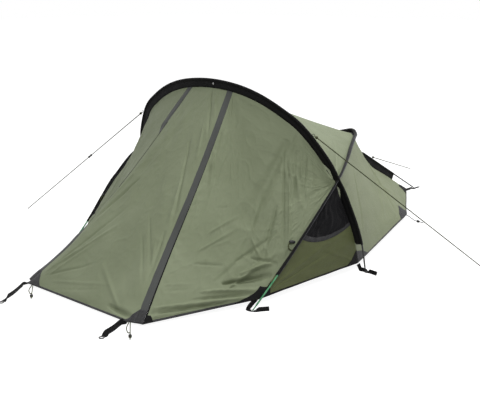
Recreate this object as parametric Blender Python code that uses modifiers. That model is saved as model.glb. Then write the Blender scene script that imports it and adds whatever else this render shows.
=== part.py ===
"""Two-person tent: two crossing hoops, a tail pole, a flysheet with two doors, an inner tent.

Metres, +Z up, +X towards the tail, -Y the near side. The canopy is drawn from the front hem
backwards and the finished tent is then moved so that its footprint is centred on the origin.
"""
import math

import bmesh
import bpy
import numpy as np
from mathutils import Vector

# Plan of the hem: distance behind the front hem, half width, height above the ground
FRONT_CORNER = np.array((0.023, 0.448, 0.012))
FRONT_SKEW = np.array((0.007, -0.0235, 0.0))
FRONT_PULL = np.array((-0.012, 0.384, 0.012))
SIDE_CORNER = np.array((2.40, 0.415, 0.03))
TAIL_CORNER = np.array((3.10, 0.0, 0.02))

# Main hoop: it stands at its feet and leans forward
MAIN_FOOT_BACK = 1.314
MAIN_LEAN = 0.365
MAIN_HEIGHT = 1.003
MAIN_HALF_WIDTH = 0.814
MAIN_SHAPE = ((0.0, 1.0), (0.225, 0.985), (0.41, 0.945), (0.579, 0.878), (0.7236, 0.794),
              (0.8614, 0.642), (0.921, 0.527), (0.9625, 0.4074), (1.0, 0.212), (0.988, 0.0))

# Rear hoop: its feet stand in front of the main hoop and its top, a bent elbow, lies far back
REAR_FOOT = np.array((0.49, 0.712, 0.0))
REAR_TOP = np.array((2.333, 0.0, 0.560))
REAR_SHAPE = ((2.275, 0.07, 0.548), (2.15, 0.147, 0.552), (1.80, 0.36, 0.568),
              (1.41, 0.594, 0.565))
REAR_LEG_SHAPE = ((0.911, 0.758, 0.38), (0.790, 0.748, 0.268), (0.665, 0.730, 0.147))
CROSSING_HEIGHT = 0.534
CROSSING_SPACING = 0.0098

# Tail pole, on the centre line
TAIL_POLE_TOP = np.array((2.47, 0.0, 0.388))
TAIL_POLE_FOOT = np.array((3.216, 0.0, 0.0055))
TAIL_RIDGE = ((2.38, 0.475), (2.44, 0.410), (2.50, 0.350), (2.60, 0.268), (2.72, 0.210),
              (2.885, 0.126), (3.0, 0.066))
TAIL_FIN_FIRST = 3
TAIL_FIN_LAST = 6

# Pole stock
POLE_RADIUS = 0.00425
FERRULE_RADIUS = 0.0049
FERRULE_LENGTH = 0.045
TIP_RADIUS = 0.0030
TIP_LENGTH = 0.030
SECTION_LENGTH = 0.42

# Sleeves: a folded strip that runs round the pole and back to the canopy's seam
SLEEVE_BORE = 0.0057
SLEEVE_WALL = 0.0010
MAIN_FIN = 0.044
REAR_FIN = 0.0175
CROSSING_FIN = 0.027
WEB_THICKNESS = 0.0014
SLEEVE_SIDES = 8

# Cloth
CLOTH = 0.0015
SEAM_GAP = 0.00025
CORNER_PULL = 0.004
STRIP_INNER = 0.135
STRIP_WIDTH = 0.040
STRIP_FOOT = np.array((0.012, 0.038, 0.0))
STRIP_HOLLOW = 0.038
HIP_SAG = 0.030
VENT_BORDER_SAG = 0.75
VENT_ROWS = 4
DOOR_RETURN = 0.05

# Body that the canopy's thickness is measured towards
CORE_BACK = 1.5
CORE_SIZE = np.array((1.7, 0.8, 0.8))

# Seam divisions
TOP_SHARES = (0.0, 0.5)
TOP_PARTS = len(TOP_SHARES)
REAR_TOP_SHARES = (0.0, 0.03, 0.09, 0.27)
UPPER_PARTS = (0.15, 0.30, 0.45, 0.59, 0.72, 0.84, 0.935, 1.0)
LEG_PARTS = 8
DOOR_PARTS = 6
HEM_PARTS = 5

# Zip sliders
SLIDER_SIZE = (0.016, 0.007, 0.004)
PULLER_SIZE = (0.034, 0.006, 0.0018)
SLIDER_UP = 0.045
SLIDER_LIFT = 0.0012
CLEARANCE = 0.0004

# Peg straps, rings and corner cords
STRAP_WIDTH = 0.022
STRAP_THICKNESS = 0.0022
EYELET_RADIUS = 0.0044
REAR_EYELET_RADIUS = 0.0068
REST_GAP = 0.0001
FRONT_STRAP_ENDS = {"near": (-0.17, 0.425), "far": (-0.225, 0.27)}
FRONT_STRAP_INSET = 0.004
FRONT_STRAP_SEWN = (0.022, 0.003)
FRONT_STRAP_LANDS = -0.023
FRONT_STRAP_BEND = 0.6
REAR_STRAP_SEWN = ((0.010, -0.010), (-0.006, -0.010))
REAR_STRAP_LIES = ((-0.002, -0.026), (0.004, 0.014), (0.055, 0.058))
REAR_EYELET_SHIFT = (0.0013, 0.0, 0.0)
MAIN_STRAP_SEWN = (0.0, 0.002, -0.006)
MAIN_STRAP_LIES = ((0.0, -0.022), (0.0, 0.025), (-0.008, 0.075))
TAIL_STRAP_SEWN = (0.0012, -0.006)
TAIL_STRAP_LANDS = 0.04
TAIL_STRAP_END = 0.075
EYELET_DEPTH = 0.03
RING_RADIUS = 0.011
RING_WIRE = 0.0016
FOOT_RING_RADIUS = 0.0066
CORD_RADIUS = 0.00125
FRONT_CORD_STARTS = {"near": (0.008, 0.3965), "far": (-0.003, 0.343)}
CORD_TUCK = 0.019
FRONT_LOCKS = {"near": (-0.10, 0.52), "far": (-0.10, 0.215)}
FRONT_CORD_TAIL = 0.22
SIDE_CORD_INSET = 0.008
SIDE_LOCK = (2.376, 0.515)
SIDE_CORD_END = (2.352, 0.553)
LOCK_RADIUS = 0.0055
LOCK_LENGTH = 0.017
LOCK_BORE = 0.0018

# Guylines
GUYLINE_RADIUS = 0.0014
GUY_RING_RADIUS = 0.0065
GUY_RING_WIRE = 0.0012
GUY_WIDTH = 0.63
FAR_GUY_END = (0.888, 1.695)
NEAR_GUY_END = (1.745, -1.300)
TAIL_GUY_BACK = 2.60
TAIL_GUY_END = (3.836, 0.395)
RUNNER_AT = 0.42
RUNNER_PLAY = 0.0005
RUNNER_RADIUS = 0.0055
RUNNER_LENGTH = 0.030

# Inner tent: distance behind the front hem, half width of the floor, height
INNER_SECTIONS = ((0.64, 0.56, 0.50), (0.96, 0.61, 0.80), (1.40, 0.58, 0.70),
                  (2.00, 0.41, 0.47), (2.33, 0.31, 0.29), (2.66, 0.17, 0.15))
INNER_ARCH = ((1.0, 0.0), (0.96, 0.33), (0.72, 0.74), (0.30, 0.96), (0.0, 1.0))
FLOOR_RIM = 0.070
FLOOR_THICKNESS = 0.0016
HANGER_WIDTH = 0.016
HANGER_THICKNESS = 0.0016
HANGERS_AT = {"front": 0.03, "rear": 0.96}

COLOURS = {
    "canopy": ((0.135, 0.155, 0.10), 0.75, 0.0),
    "canopy_rear": ((0.21, 0.23, 0.145), 0.75, 0.0),
    "side_cloth": ((0.10, 0.115, 0.055), 0.75, 0.0),
    "mesh_cloth": ((0.025, 0.025, 0.028), 0.85, 0.0),
    "strip_cloth": ((0.07, 0.07, 0.075), 0.7, 0.0),
    "black_tape": ((0.006, 0.006, 0.006), 0.6, 0.0),
    "grey_tape": ((0.05, 0.05, 0.055), 0.6, 0.0),
    "pole_black": ((0.012, 0.014, 0.014), 0.35, 0.9),
    "pole_green": ((0.07, 0.22, 0.11), 0.3, 0.9),
    "ring_metal": ((0.75, 0.75, 0.75), 0.3, 1.0),
    "black_plastic": ((0.01, 0.01, 0.01), 0.45, 0.0),
    "guyline": ((0.16, 0.16, 0.11), 0.8, 0.0),
    "inner_cloth": ((0.62, 0.62, 0.56), 0.85, 0.0),
    "floor_cloth": ((0.05, 0.055, 0.05), 0.7, 0.0),
}


def clear_scene():
    """Remove the objects of the default scene."""
    for item in list(bpy.data.objects):
        bpy.data.objects.remove(item, do_unlink=True)


def new_collection(name):
    """Make a collection in the scene."""
    group = bpy.data.collections.new(name)
    bpy.context.scene.collection.children.link(group)
    return group


clear_scene()
TENT = new_collection("two_person_tent")
CUTTERS = new_collection("cutters")


def material(name):
    """Find or make one of the named materials."""
    found = bpy.data.materials.get(name)
    if found:
        return found
    colour, roughness, metallic = COLOURS[name]
    found = bpy.data.materials.new(name)
    found.use_nodes = True
    shader = found.node_tree.nodes["Principled BSDF"]
    shader.inputs["Base Color"].default_value = (*colour, 1.0)
    shader.inputs["Roughness"].default_value = roughness
    shader.inputs["Metallic"].default_value = metallic
    found.diffuse_color = (*colour, 1.0)
    return found


def add_object(name, data, finish, group=None):
    """Link a mesh or curve to its collection with its material."""
    item = bpy.data.objects.new(name, data)
    (group or TENT).objects.link(item)
    data.materials.append(material(finish))
    return item


def mesh_object(name, mesh, finish, group=None):
    """Make an object from a bmesh, with its faces pointing out."""
    bmesh.ops.recalc_face_normals(mesh, faces=mesh.faces)
    data = bpy.data.meshes.new(name)
    mesh.to_mesh(data)
    mesh.free()
    return add_object(name, data, finish, group)


def mirrored(points, side):
    """Put points drawn for a positive half width on the near (-1) or far (+1) side."""
    return np.asarray(points, dtype=float) * (1.0, side, 1.0)


def unit(vector):
    """Scale a vector, or each row of an array, to length one."""
    vector = np.asarray(vector, dtype=float)
    return vector / np.linalg.norm(vector, axis=-1, keepdims=True)


def outward(points):
    """Smooth direction that leads out of the tent at each point."""
    offset = np.asarray(points, dtype=float) - (CORE_BACK, 0.0, 0.0)
    return unit(offset / CORE_SIZE**2)


def smooth_curve(points, per_span=24):
    """Catmull-Rom curve through points, as a dense polyline."""
    points = np.asarray(points, dtype=float)
    ends = (2 * points[0] - points[1], 2 * points[-1] - points[-2])
    padded = np.vstack((ends[0], points, ends[1]))
    step = np.linspace(0.0, 1.0, per_span, endpoint=False)[:, None]
    spans = []
    for first, second, third, fourth in zip(padded, padded[1:], padded[2:], padded[3:]):
        spans.append(0.5 * (2 * second + (third - first) * step
                            + (2 * first - 5 * second + 4 * third - fourth) * step**2
                            + (3 * second - first - 3 * third + fourth) * step**3))
    return np.vstack((*spans, points[-1]))


def arc_lengths(line):
    """Length along a polyline at each of its points."""
    steps = np.linalg.norm(np.diff(line, axis=0), axis=1)
    return np.concatenate(([0.0], np.cumsum(steps)))


def at_lengths(line, lengths):
    """Points of a polyline at the given lengths along it."""
    along = arc_lengths(line)
    return np.column_stack([np.interp(lengths, along, line[:, axis]) for axis in range(3)])


def straight(start, end, parts):
    """Evenly spaced points from start to end."""
    share = np.linspace(0.0, 1.0, parts + 1)[:, None]
    return np.asarray(start) * (1 - share) + np.asarray(end) * share


def ruled(first, second, parts):
    """Grid of straight rows between two edges that have as many points as each other."""
    share = np.linspace(0.0, 1.0, parts + 1)[None, :, None]
    return first[:, None] * (1 - share) + second[:, None] * share


def coons(start, end, left, right):
    """Grid spanned by four edges: rows run from left to right, start is the first row."""
    across = np.linspace(0.0, 1.0, len(start))[None, :, None]
    down = np.linspace(0.0, 1.0, len(left))[:, None, None]
    sides = left[:, None] * (1 - across) + right[:, None] * across
    rows = start[None] * (1 - down) + end[None] * down
    corners = ((start[0] * (1 - across) + start[-1] * across) * (1 - down)
               + (end[0] * (1 - across) + end[-1] * across) * down)
    return sides + rows - corners


def pull_in(grid):
    """Draw the border of a panel in, so that a fine gap stays at each seam."""
    grid = np.array(grid)
    for _ in range(2):
        for edge, inside in ((0, 1), (-1, -2)):
            collapsed = np.ptp(grid[edge], axis=0).max() < 1e-6
            pull = CORNER_PULL if collapsed else SEAM_GAP
            grid[edge] += pull * unit(grid[inside] - grid[edge])
        grid = grid.swapaxes(0, 1).copy()
    return grid


def cloth_panel(name, grid, finish):
    """Closed panel of cloth between an outer grid and the same grid moved inwards."""
    outer = pull_in(grid)
    inner = outer - CLOTH * outward(outer)
    rows, columns = outer.shape[:2]
    mesh = bmesh.new()
    layers = []
    for layer in (outer, inner):
        layers.append([[mesh.verts.new(point) for point in row] for row in layer])
    for sheet in layers:
        for row in range(rows - 1):
            for column in range(columns - 1):
                mesh.faces.new((sheet[row][column], sheet[row][column + 1],
                                sheet[row + 1][column + 1], sheet[row + 1][column]))
    border = [(0, column) for column in range(columns)]
    border += [(row, columns - 1) for row in range(1, rows)]
    border += [(rows - 1, column) for column in range(columns - 2, -1, -1)]
    border += [(row, 0) for row in range(rows - 2, 0, -1)]
    for here, there in zip(border, border[1:] + border[:1]):
        mesh.faces.new([layers[level][row][column] for level, (row, column)
                        in ((0, here), (0, there), (1, there), (1, here))])
    bmesh.ops.triangulate(mesh, faces=mesh.faces)
    return mesh_object(name, mesh, finish)


def tube(name, points, radii, finish):
    """Round tube through points, with its own radius at each."""
    curve = bpy.data.curves.new(name, "CURVE")
    curve.dimensions = "3D"
    curve.bevel_depth = 1.0
    curve.bevel_resolution = 2
    curve.use_fill_caps = True
    line = curve.splines.new("POLY")
    line.points.add(len(points) - 1)
    for knot, point, radius in zip(line.points, points, radii):
        knot.co = (*point, 1.0)
        knot.radius = radius
    return add_object(name, curve, finish)


def ferruled_pole(name, stations, finish):
    """Pole made of sections, with a raised ferrule at each joint and a thin tip at each foot."""
    along = arc_lengths(stations)
    total = along[-1]
    sections = max(2, round(total / SECTION_LENGTH))
    step = POLE_RADIUS * 0.3
    marks = [(length, POLE_RADIUS) for length in along if TIP_LENGTH < length < total - TIP_LENGTH]
    for joint in np.linspace(0.0, total, sections + 1)[1:-1]:
        low, high = joint - FERRULE_LENGTH / 2, joint + FERRULE_LENGTH / 2
        marks = [(place, FERRULE_RADIUS if low <= place <= high else radius)
                 for place, radius in marks if not (abs(place - low) < step or abs(place - high) < step)]
        marks += [(low - step, POLE_RADIUS), (low, FERRULE_RADIUS),
                  (high, FERRULE_RADIUS), (high + step, POLE_RADIUS)]
    for end in tip_ends(name):
        foot = 0.0 if end == "start" else total
        side = 1.0 if end == "start" else -1.0
        marks += [(foot, TIP_RADIUS), (foot + side * TIP_LENGTH, TIP_RADIUS),
                  (foot + side * (TIP_LENGTH + step), POLE_RADIUS)]
    if "start" not in tip_ends(name):
        marks.append((0.0, POLE_RADIUS))
    marks.sort()
    lengths, radii = zip(*marks)
    return tube(name, at_lengths(stations, lengths), radii, finish)


def tip_ends(name):
    """Ends of a pole that stand on the ground: both for a hoop, the last for the tail pole."""
    return ("end",) if name == "tail_pole" else ("start", "end")


def sleeve(name, pole, seam, finish):
    """Folded strip: a ring round the pole and a web down to the canopy's seam, along stations."""
    tangents = unit(np.gradient(pole, axis=0))
    down = seam - pole
    reach = np.linalg.norm(down, axis=1, keepdims=True) - 2 * CLEARANCE
    flat = unit(down - tangents * np.sum(down * tangents, axis=1, keepdims=True))
    across = np.cross(tangents, flat)
    turn = 2 * math.pi / SLEEVE_SIDES
    angles = [turn * (index + 0.5) for index in range(SLEEVE_SIDES)]
    mesh = bmesh.new()
    rings = []
    for centre, axis, side, web, length in zip(pole, flat, across, unit(down), reach):
        bore = [mesh.verts.new(centre + SLEEVE_BORE * (axis * math.cos(a) + side * math.sin(a)))
                for a in angles]
        skin = [mesh.verts.new(centre + (SLEEVE_BORE + SLEEVE_WALL)
                               * (axis * math.cos(a) + side * math.sin(a))) for a in angles]
        hem = [mesh.verts.new(centre + web * length + side * sign * WEB_THICKNESS / 2)
               for sign in (-1, 1)]
        rings.append((bore, skin, hem))
    last = SLEEVE_SIDES - 1
    for (bore, skin, hem), (next_bore, next_skin, next_hem) in zip(rings, rings[1:]):
        outline = skin + hem
        next_outline = next_skin + next_hem
        for loop, next_loop in ((bore, next_bore), (outline, next_outline)):
            for index in range(len(loop)):
                other = (index + 1) % len(loop)
                mesh.faces.new((loop[index], loop[other], next_loop[other], next_loop[index]))
    for bore, skin, hem in (rings[0], rings[-1]):
        for index in range(SLEEVE_SIDES):
            other = (index + 1) % SLEEVE_SIDES
            mesh.faces.new((bore[index], bore[other], skin[other], skin[index]))
        mesh.faces.new((skin[last], hem[0], hem[1], skin[0]))
    bmesh.ops.triangulate(mesh, faces=mesh.faces)
    return mesh_object(name, mesh, finish)


def main_half():
    """Main hoop from its top to one foot, as a dense line on the positive side."""
    share = np.array(MAIN_SHAPE)
    rise = share[:, 1] * MAIN_HEIGHT
    half = np.column_stack((MAIN_FOOT_BACK - MAIN_LEAN * rise, share[:, 0] * MAIN_HALF_WIDTH, rise))
    dense = smooth_curve(np.vstack((half[1] * (1, -1, 1), half)))
    return dense[24:]


def rear_half():
    """Rear hoop from its top to one foot; it passes just inside the main hoop's leg."""
    main = main_half()
    order = np.argsort(main[:, 2])
    cross = np.array([np.interp(CROSSING_HEIGHT, main[order, 2], main[order, axis])
                      for axis in range(3)])
    cross -= CROSSING_SPACING * outward(cross)
    half = np.vstack((REAR_TOP, REAR_SHAPE, cross, REAR_LEG_SHAPE, REAR_FOOT))
    dense = smooth_curve(np.vstack((half[1] * (1, -1, 1), half)))
    return dense[24:], cross


def stations_of(line, top_lengths, cross_length, low_height):
    """Stations of a hoop's half: its top, then down to the crossing, the hem and the foot."""
    start = top_lengths[-1]
    upper = start + (cross_length - start) * np.array(UPPER_PARTS)
    along = arc_lengths(line)
    low = np.interp(-low_height, -line[:, 2], along) if low_height else along[-1]
    leg = np.linspace(cross_length, low, LEG_PARTS + 1)[1:]
    above = at_lengths(line, np.concatenate((top_lengths, upper)))
    below = at_lengths(line, leg)
    return above, below


def hoop_frames():
    """Stations of both hoops and the canopy's seams under them, on the positive side."""
    main = main_half()
    along = arc_lengths(main)
    wide = np.argmax(main[:, 1])
    marks = [STRIP_INNER * share for share in TOP_SHARES] + [STRIP_INNER, STRIP_INNER + STRIP_WIDTH]
    top = np.interp(marks, main[:wide, 1], along[:wide])
    cross = np.interp(-CROSSING_HEIGHT, -main[:, 2], along)
    main_above, main_below = stations_of(main, top, cross, 0.05)
    rear, crossing = rear_half()
    rear_along = arc_lengths(rear)
    nearest = rear_along[np.argmin(np.linalg.norm(rear - crossing, axis=1))]
    spread = np.array(REAR_TOP_SHARES) * nearest
    rear_above, rear_below = stations_of(rear, spread, nearest, 0.04)
    rear_above[-1] = crossing
    fins = np.full(len(main_above), MAIN_FIN)
    fins[-1] = CROSSING_FIN
    leg_fins = np.full(len(main_below), MAIN_FIN)
    main_seam = main_above - fins[:, None] * outward(main_above)
    leg_seam = main_below - leg_fins[:, None] * outward(main_below)
    rear_seam = rear_above - REAR_FIN * outward(rear_above)
    rear_leg_seam = rear_below - REAR_FIN * outward(rear_below)
    rear_seam[-1] = main_seam[-1]
    return {
        "main": (main_above, main_below, main[-1]),
        "rear": (rear_above, rear_below, rear[-1]),
        "main_seam": main_seam,
        "main_leg_seam": np.vstack((main_seam[-1], leg_seam)),
        "rear_seam": rear_seam,
        "rear_leg_seam": np.vstack((main_seam[-1], rear_leg_seam)),
    }


def whole_hoop(above, below, foot):
    """Stations of a whole hoop, from its near foot over the top to its far foot."""
    lean = unit(below[-1] - foot)
    rim = TIP_RADIUS * math.hypot(lean[0], lean[1])
    half = np.vstack((above, below, foot + (0.0, 0.0, rim + CLEARANCE)))
    return np.vstack((mirrored(half[::-1], -1), mirrored(half[1:], 1)))


def build_poles(hoops):
    """Both hoops and the tail pole."""
    ferruled_pole("main_hoop_pole", whole_hoop(*hoops["main"]), "pole_black")
    ferruled_pole("rear_hoop_pole", whole_hoop(*hoops["rear"]), "pole_green")
    ferruled_pole("tail_pole", straight(TAIL_POLE_TOP, TAIL_POLE_FOOT, 6), "pole_black")


def build_sleeves(hoops, ridge):
    """Sleeves over the hoops' tops, fins along their legs and the fin of the tail pole."""
    for hoop, finish in (("main", "black_tape"), ("rear", "grey_tape")):
        above, below, _ = hoops[hoop]
        seam = hoops[hoop + "_seam"]
        leg_seam = hoops[hoop + "_leg_seam"][1:]
        pole = np.vstack((mirrored(above[-2:0:-1], -1), above[:-1]))
        cloth = np.vstack((mirrored(seam[-2:0:-1], -1), seam[:-1]))
        sleeve(f"{hoop}_sleeve", pole, cloth, finish)
        for side, label in ((-1, "near"), (1, "far")):
            sleeve(f"{hoop}_fin_{label}", mirrored(below[:-2], side),
                   mirrored(leg_seam[:-2], side), finish)
    seam = ridge[TAIL_FIN_FIRST:TAIL_FIN_LAST + 1]
    line = unit(TAIL_POLE_FOOT - TAIL_POLE_TOP)
    run = np.sum((seam - TAIL_POLE_TOP) * line, axis=1)
    sleeve("tail_fin", TAIL_POLE_TOP + run[:, None] * line, seam, "black_tape")


def strip_foot(side):
    """Outer foot of a zip strip. The tent is pitched a little askew, so the feet differ."""
    return mirrored(FRONT_CORNER, side) + FRONT_SKEW * (side, 1.0, 1.0)


def strip_edges(hoops, side):
    """Inner and outer edges of a zip strip, hollow between the main hoop's seam and the front hem."""
    seam = mirrored(hoops["main_seam"], side)
    outer_foot = strip_foot(side)
    inner_foot = outer_foot - mirrored(STRIP_FOOT, side)
    hollow = STRIP_HOLLOW * np.sin(np.linspace(0.0, math.pi, DOOR_PARTS + 1))[:, None]
    inner = straight(seam[TOP_PARTS], inner_foot, DOOR_PARTS)
    outer = straight(seam[TOP_PARTS + 1], outer_foot, DOOR_PARTS)
    return inner - hollow * outward(inner), outer - hollow * outward(outer)


def tail_ridge_line(hoops):
    """Ridge behind the rear hoop, down to the tail corner."""
    middle = [(back, 0.0, height) for back, height in TAIL_RIDGE]
    return np.vstack((hoops["rear_seam"][0], middle, TAIL_CORNER))


def side_of_canopy(hoops, ridge, side, label):
    """All the panels of one side of the flysheet."""
    seam = mirrored(hoops["main_seam"], side)
    leg = mirrored(hoops["main_leg_seam"], side)
    rear = mirrored(hoops["rear_seam"], side)
    rear_leg = mirrored(hoops["rear_leg_seam"], side)
    inner, outer = strip_edges(hoops, side)
    hem = rear_leg[-1] + DOOR_RETURN * unit(outer[-1] - rear_leg[-1])
    cloth_panel(f"zip_strip_{label}", ruled(inner, outer, 1), "strip_cloth")
    fold = straight(outer[0], hem, DOOR_PARTS)
    cloth_panel(f"door_flap_{label}", ruled(outer, fold, HEM_PARTS), "canopy")
    start = seam[TOP_PARTS + 1:TOP_PARTS + 3].mean(axis=0)
    upper = np.vstack((seam[TOP_PARTS + 1], start, seam[TOP_PARTS + 2:]))
    lower = np.vstack((hem, rear_leg[::-1]))
    cloth_panel(f"door_quarter_{label}", ruled(upper, lower, DOOR_PARTS), "canopy")
    cloth_panel(f"roof_panel_{label}", ruled(seam, rear, HEM_PARTS), "canopy")
    wall = ruled(rear_leg, leg, DOOR_PARTS)
    bow = VENT_BORDER_SAG * np.sin(np.linspace(0.0, math.pi, wall.shape[1]))[:, None]
    wall[VENT_ROWS] = wall[VENT_ROWS] * (1 - bow) + wall[VENT_ROWS + 1] * bow
    wall[VENT_ROWS + 1] = (wall[VENT_ROWS] + wall[VENT_ROWS + 2]) / 2
    cloth_panel(f"vent_panel_{label}", wall[:VENT_ROWS + 1], "mesh_cloth")
    cloth_panel(f"side_skirt_{label}", wall[VENT_ROWS:], "side_cloth")
    corner = mirrored(SIDE_CORNER, side)
    hip = straight(rear[0], corner, LEG_PARTS)
    sag = HIP_SAG * np.sin(np.linspace(0.0, math.pi, len(hip)))[:, None]
    hip = hip - sag * outward(hip)
    flank = coons(rear[::-1], straight(leg[-1], corner, len(rear) - 1), leg, hip)
    cloth_panel(f"rear_flank_{label}", flank, "canopy_rear")
    cloth_panel(f"tail_panel_{label}", ruled(hip, ridge, HEM_PARTS - 1), "canopy_rear")


def build_front_panel(hoops):
    """Fixed panel between the two zip strips."""
    near, _ = strip_edges(hoops, -1)
    far, _ = strip_edges(hoops, 1)
    seam = hoops["main_seam"][:TOP_PARTS + 1]
    top = np.vstack((mirrored(seam[::-1], -1), seam[1:]))
    hem = np.vstack((near[-1], straight(mirrored(FRONT_PULL, -1), FRONT_PULL, TOP_PARTS), far[-1]))
    cloth_panel("front_panel", coons(top, hem, near, far), "canopy")


def oriented_box(mesh, size, centre, axes):
    """Add a box to a bmesh, with its sides along three axes."""
    made = bmesh.ops.create_cube(mesh, size=1.0)["verts"]
    for corner in made:
        local = np.array(corner.co) * size
        corner.co = Vector(centre + local @ np.array(axes))


def build_slider(hoops, side, label):
    """Zip slider at the foot of a strip: a body with its puller hanging below."""
    inner, outer = strip_edges(hoops, side)
    middle = (inner + outer) / 2
    up = unit(middle[0] - middle[-1])
    lie = unit(middle[-2] - middle[-1])
    across = outer[-1] - inner[-1] + outer[0] - inner[0]
    axes = slider_axes(up, across)
    tab_axes = slider_axes(lie, across)
    normal = axes[2]
    length, _, height = SLIDER_SIZE
    seat = middle[-1] + lie * SLIDER_UP + normal * (SLIDER_LIFT + height / 2)
    mesh = bmesh.new()
    oriented_box(mesh, SLIDER_SIZE, seat, axes)
    body = mesh_object(f"zip_slider_{label}", mesh, "black_plastic")
    tab = bmesh.new()
    tab_length, _, tab_height = PULLER_SIZE
    drop = seat - lie * (tab_length / 2 + length / 4) + tab_axes[2] * (height - tab_height) / 2.2
    oriented_box(tab, PULLER_SIZE, drop, tab_axes)
    cutter = mesh_object(f"puller_{label}", tab, "black_plastic", CUTTERS)
    join(body, cutter, "UNION")


def slider_axes(up, across):
    """Three axes of a box that lies on a strip: along it, across it and out of the tent."""
    across = unit(across - up * np.dot(across, up))
    normal = np.cross(up, across)
    return up, across, normal * np.sign(-normal[0])


def join(target, tool, operation):
    """Boolean of a hidden tool on a target, kept as a modifier."""
    tool.hide_render = True
    tool.display_type = "WIRE"
    change = target.modifiers.new(tool.name, "BOOLEAN")
    change.operation = operation
    change.object = tool
    change.solver = "EXACT"


def cylinder(name, radius, depth, centre, axis, finish, group=None):
    """Cylinder with its axis along a direction."""
    mesh = bmesh.new()
    bmesh.ops.create_cone(mesh, cap_ends=True, segments=16, radius1=radius, radius2=radius, depth=depth)
    item = mesh_object(name, mesh, finish, group)
    item.rotation_mode = "QUATERNION"
    item.rotation_quaternion = Vector((0, 0, 1)).rotation_difference(Vector(axis))
    item.location = Vector(centre)
    return item


def torus(name, radius, wire, centre, axis, finish):
    """Ring of round wire."""
    bpy.ops.mesh.primitive_torus_add(major_radius=radius, minor_radius=wire,
                                     major_segments=20, minor_segments=8)
    item = bpy.context.object
    item.name = name
    item.data.name = name
    for group in list(item.users_collection):
        group.objects.unlink(item)
    TENT.objects.link(item)
    item.data.materials.append(material(finish))
    item.rotation_mode = "QUATERNION"
    item.rotation_quaternion = Vector((0, 0, 1)).rotation_difference(Vector(axis))
    item.location = Vector(centre)
    return item


def strap(name, route, finish, eyelet=None, eyelet_radius=EYELET_RADIUS):
    """Band of webbing along a route, lying flat, with an eyelet where a pole stands."""
    route = np.asarray(route, dtype=float)
    run = unit(np.gradient(route, axis=0))
    level = unit(np.cross(run, (0.0, 0.0, 1.0)))
    normal = np.cross(level, run)
    mesh = bmesh.new()
    sections = []
    for point, side, lift in zip(route, level, normal):
        corners = ((-1, -1), (1, -1), (1, 1), (-1, 1))
        sections.append([mesh.verts.new(point + side * x * STRAP_WIDTH / 2 + lift * z * STRAP_THICKNESS / 2)
                         for x, z in corners])
    for here, there in zip(sections, sections[1:]):
        for index in range(4):
            other = (index + 1) % 4
            mesh.faces.new((here[index], here[other], there[other], there[index]))
    mesh.faces.new(sections[0])
    mesh.faces.new(sections[-1])
    bmesh.ops.triangulate(mesh, faces=mesh.faces)
    item = mesh_object(name, mesh, finish)
    if eyelet is not None:
        hole = cylinder(f"{name}_eyelet", eyelet_radius, EYELET_DEPTH, eyelet, (0, 0, 1), finish, CUTTERS)
        join(item, hole, "DIFFERENCE")
    return item


def floor_route(points):
    """Route of a strap: its last points lie on the ground at half the strap's thickness."""
    flat = STRAP_THICKNESS / 2
    return [(back, out, flat if height is None else height) for back, out, height in points]


def build_straps(hoops):
    """Webbing at the front corners, at the feet of both hoops and at the tail."""
    rear_hem = hoops["rear_leg_seam"][-1]
    main_hem = hoops["main_leg_seam"][-1]
    rear_foot, main_foot = hoops["rear"][2], hoops["main"][2]
    pull_back, pull_out, pull_up = FRONT_PULL
    for side, label in ((-1, "near"), (1, "far")):
        lean = FRONT_STRAP_ENDS[label]
        tuck = pull_up - CLEARANCE - STRAP_THICKNESS / 2
        out = pull_out - FRONT_STRAP_INSET
        bend = FRONT_STRAP_BEND
        sewn = [(pull_back + back, out, tuck) for back in FRONT_STRAP_SEWN]
        front = floor_route((*sewn, (pull_back + FRONT_STRAP_LANDS, out, None),
                             (lean[0] * bend, out * (1 - bend) + lean[1] * bend, None), (*lean, None)))
        strap(f"front_strap_{label}", mirrored(front, side), "black_tape")
        run = unit(np.subtract(front[-1], front[-2]))
        ring_at = front[-1] + run * (RING_RADIUS + RING_WIRE + CLEARANCE)
        ring_at[2] = RING_WIRE + REST_GAP
        torus(f"front_ring_{label}", RING_RADIUS, RING_WIRE, mirrored(ring_at, side), (0, 0, 1), "ring_metal")
        tuck = rear_hem[2] - CLEARANCE - STRAP_THICKNESS / 2
        sewn = [(rear_hem[0] + back, rear_hem[1] + away, tuck) for back, away in REAR_STRAP_SEWN]
        foot = floor_route((*sewn, *lying(rear_foot, REAR_STRAP_LIES)))
        strap(f"rear_foot_strap_{label}", mirrored(foot, side), "black_tape",
              mirrored(rear_foot + REAR_EYELET_SHIFT, side), REAR_EYELET_RADIUS)
        stand = floor_route((main_hem + MAIN_STRAP_SEWN, *lying(main_foot, MAIN_STRAP_LIES)))
        strap(f"main_foot_strap_{label}", mirrored(stand, side), "black_tape",
              mirrored(main_foot, side))
        torus(f"main_foot_ring_{label}", FOOT_RING_RADIUS, RING_WIRE,
              mirrored((main_foot[0], main_foot[1], STRAP_THICKNESS + CLEARANCE + RING_WIRE), side),
              (0, 0, 1), "ring_metal")
    sewn_back, sewn_up = TAIL_STRAP_SEWN
    tail = floor_route(((TAIL_CORNER[0] + sewn_back, 0.0, TAIL_CORNER[2] + sewn_up),
                        (TAIL_CORNER[0] + TAIL_STRAP_LANDS, 0.0, None), (TAIL_POLE_FOOT[0], 0.0, None),
                        (TAIL_POLE_FOOT[0] + TAIL_STRAP_END, 0.0, None)))
    strap("tail_strap", tail, "black_tape")


def lying(foot, offsets):
    """Places of a strap on the ground round a pole's foot."""
    return [(foot[0] + back, foot[1] + away, None) for back, away in offsets]


def bored_barrel(name, radius, length, bore, centre, axis, finish):
    """Small barrel with a bore for a cord."""
    item = cylinder(name, radius, length, centre, axis, finish)
    hole = cylinder(f"{name}_bore", bore, length * 2, centre, axis, finish, CUTTERS)
    join(item, hole, "DIFFERENCE")
    return item


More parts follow.
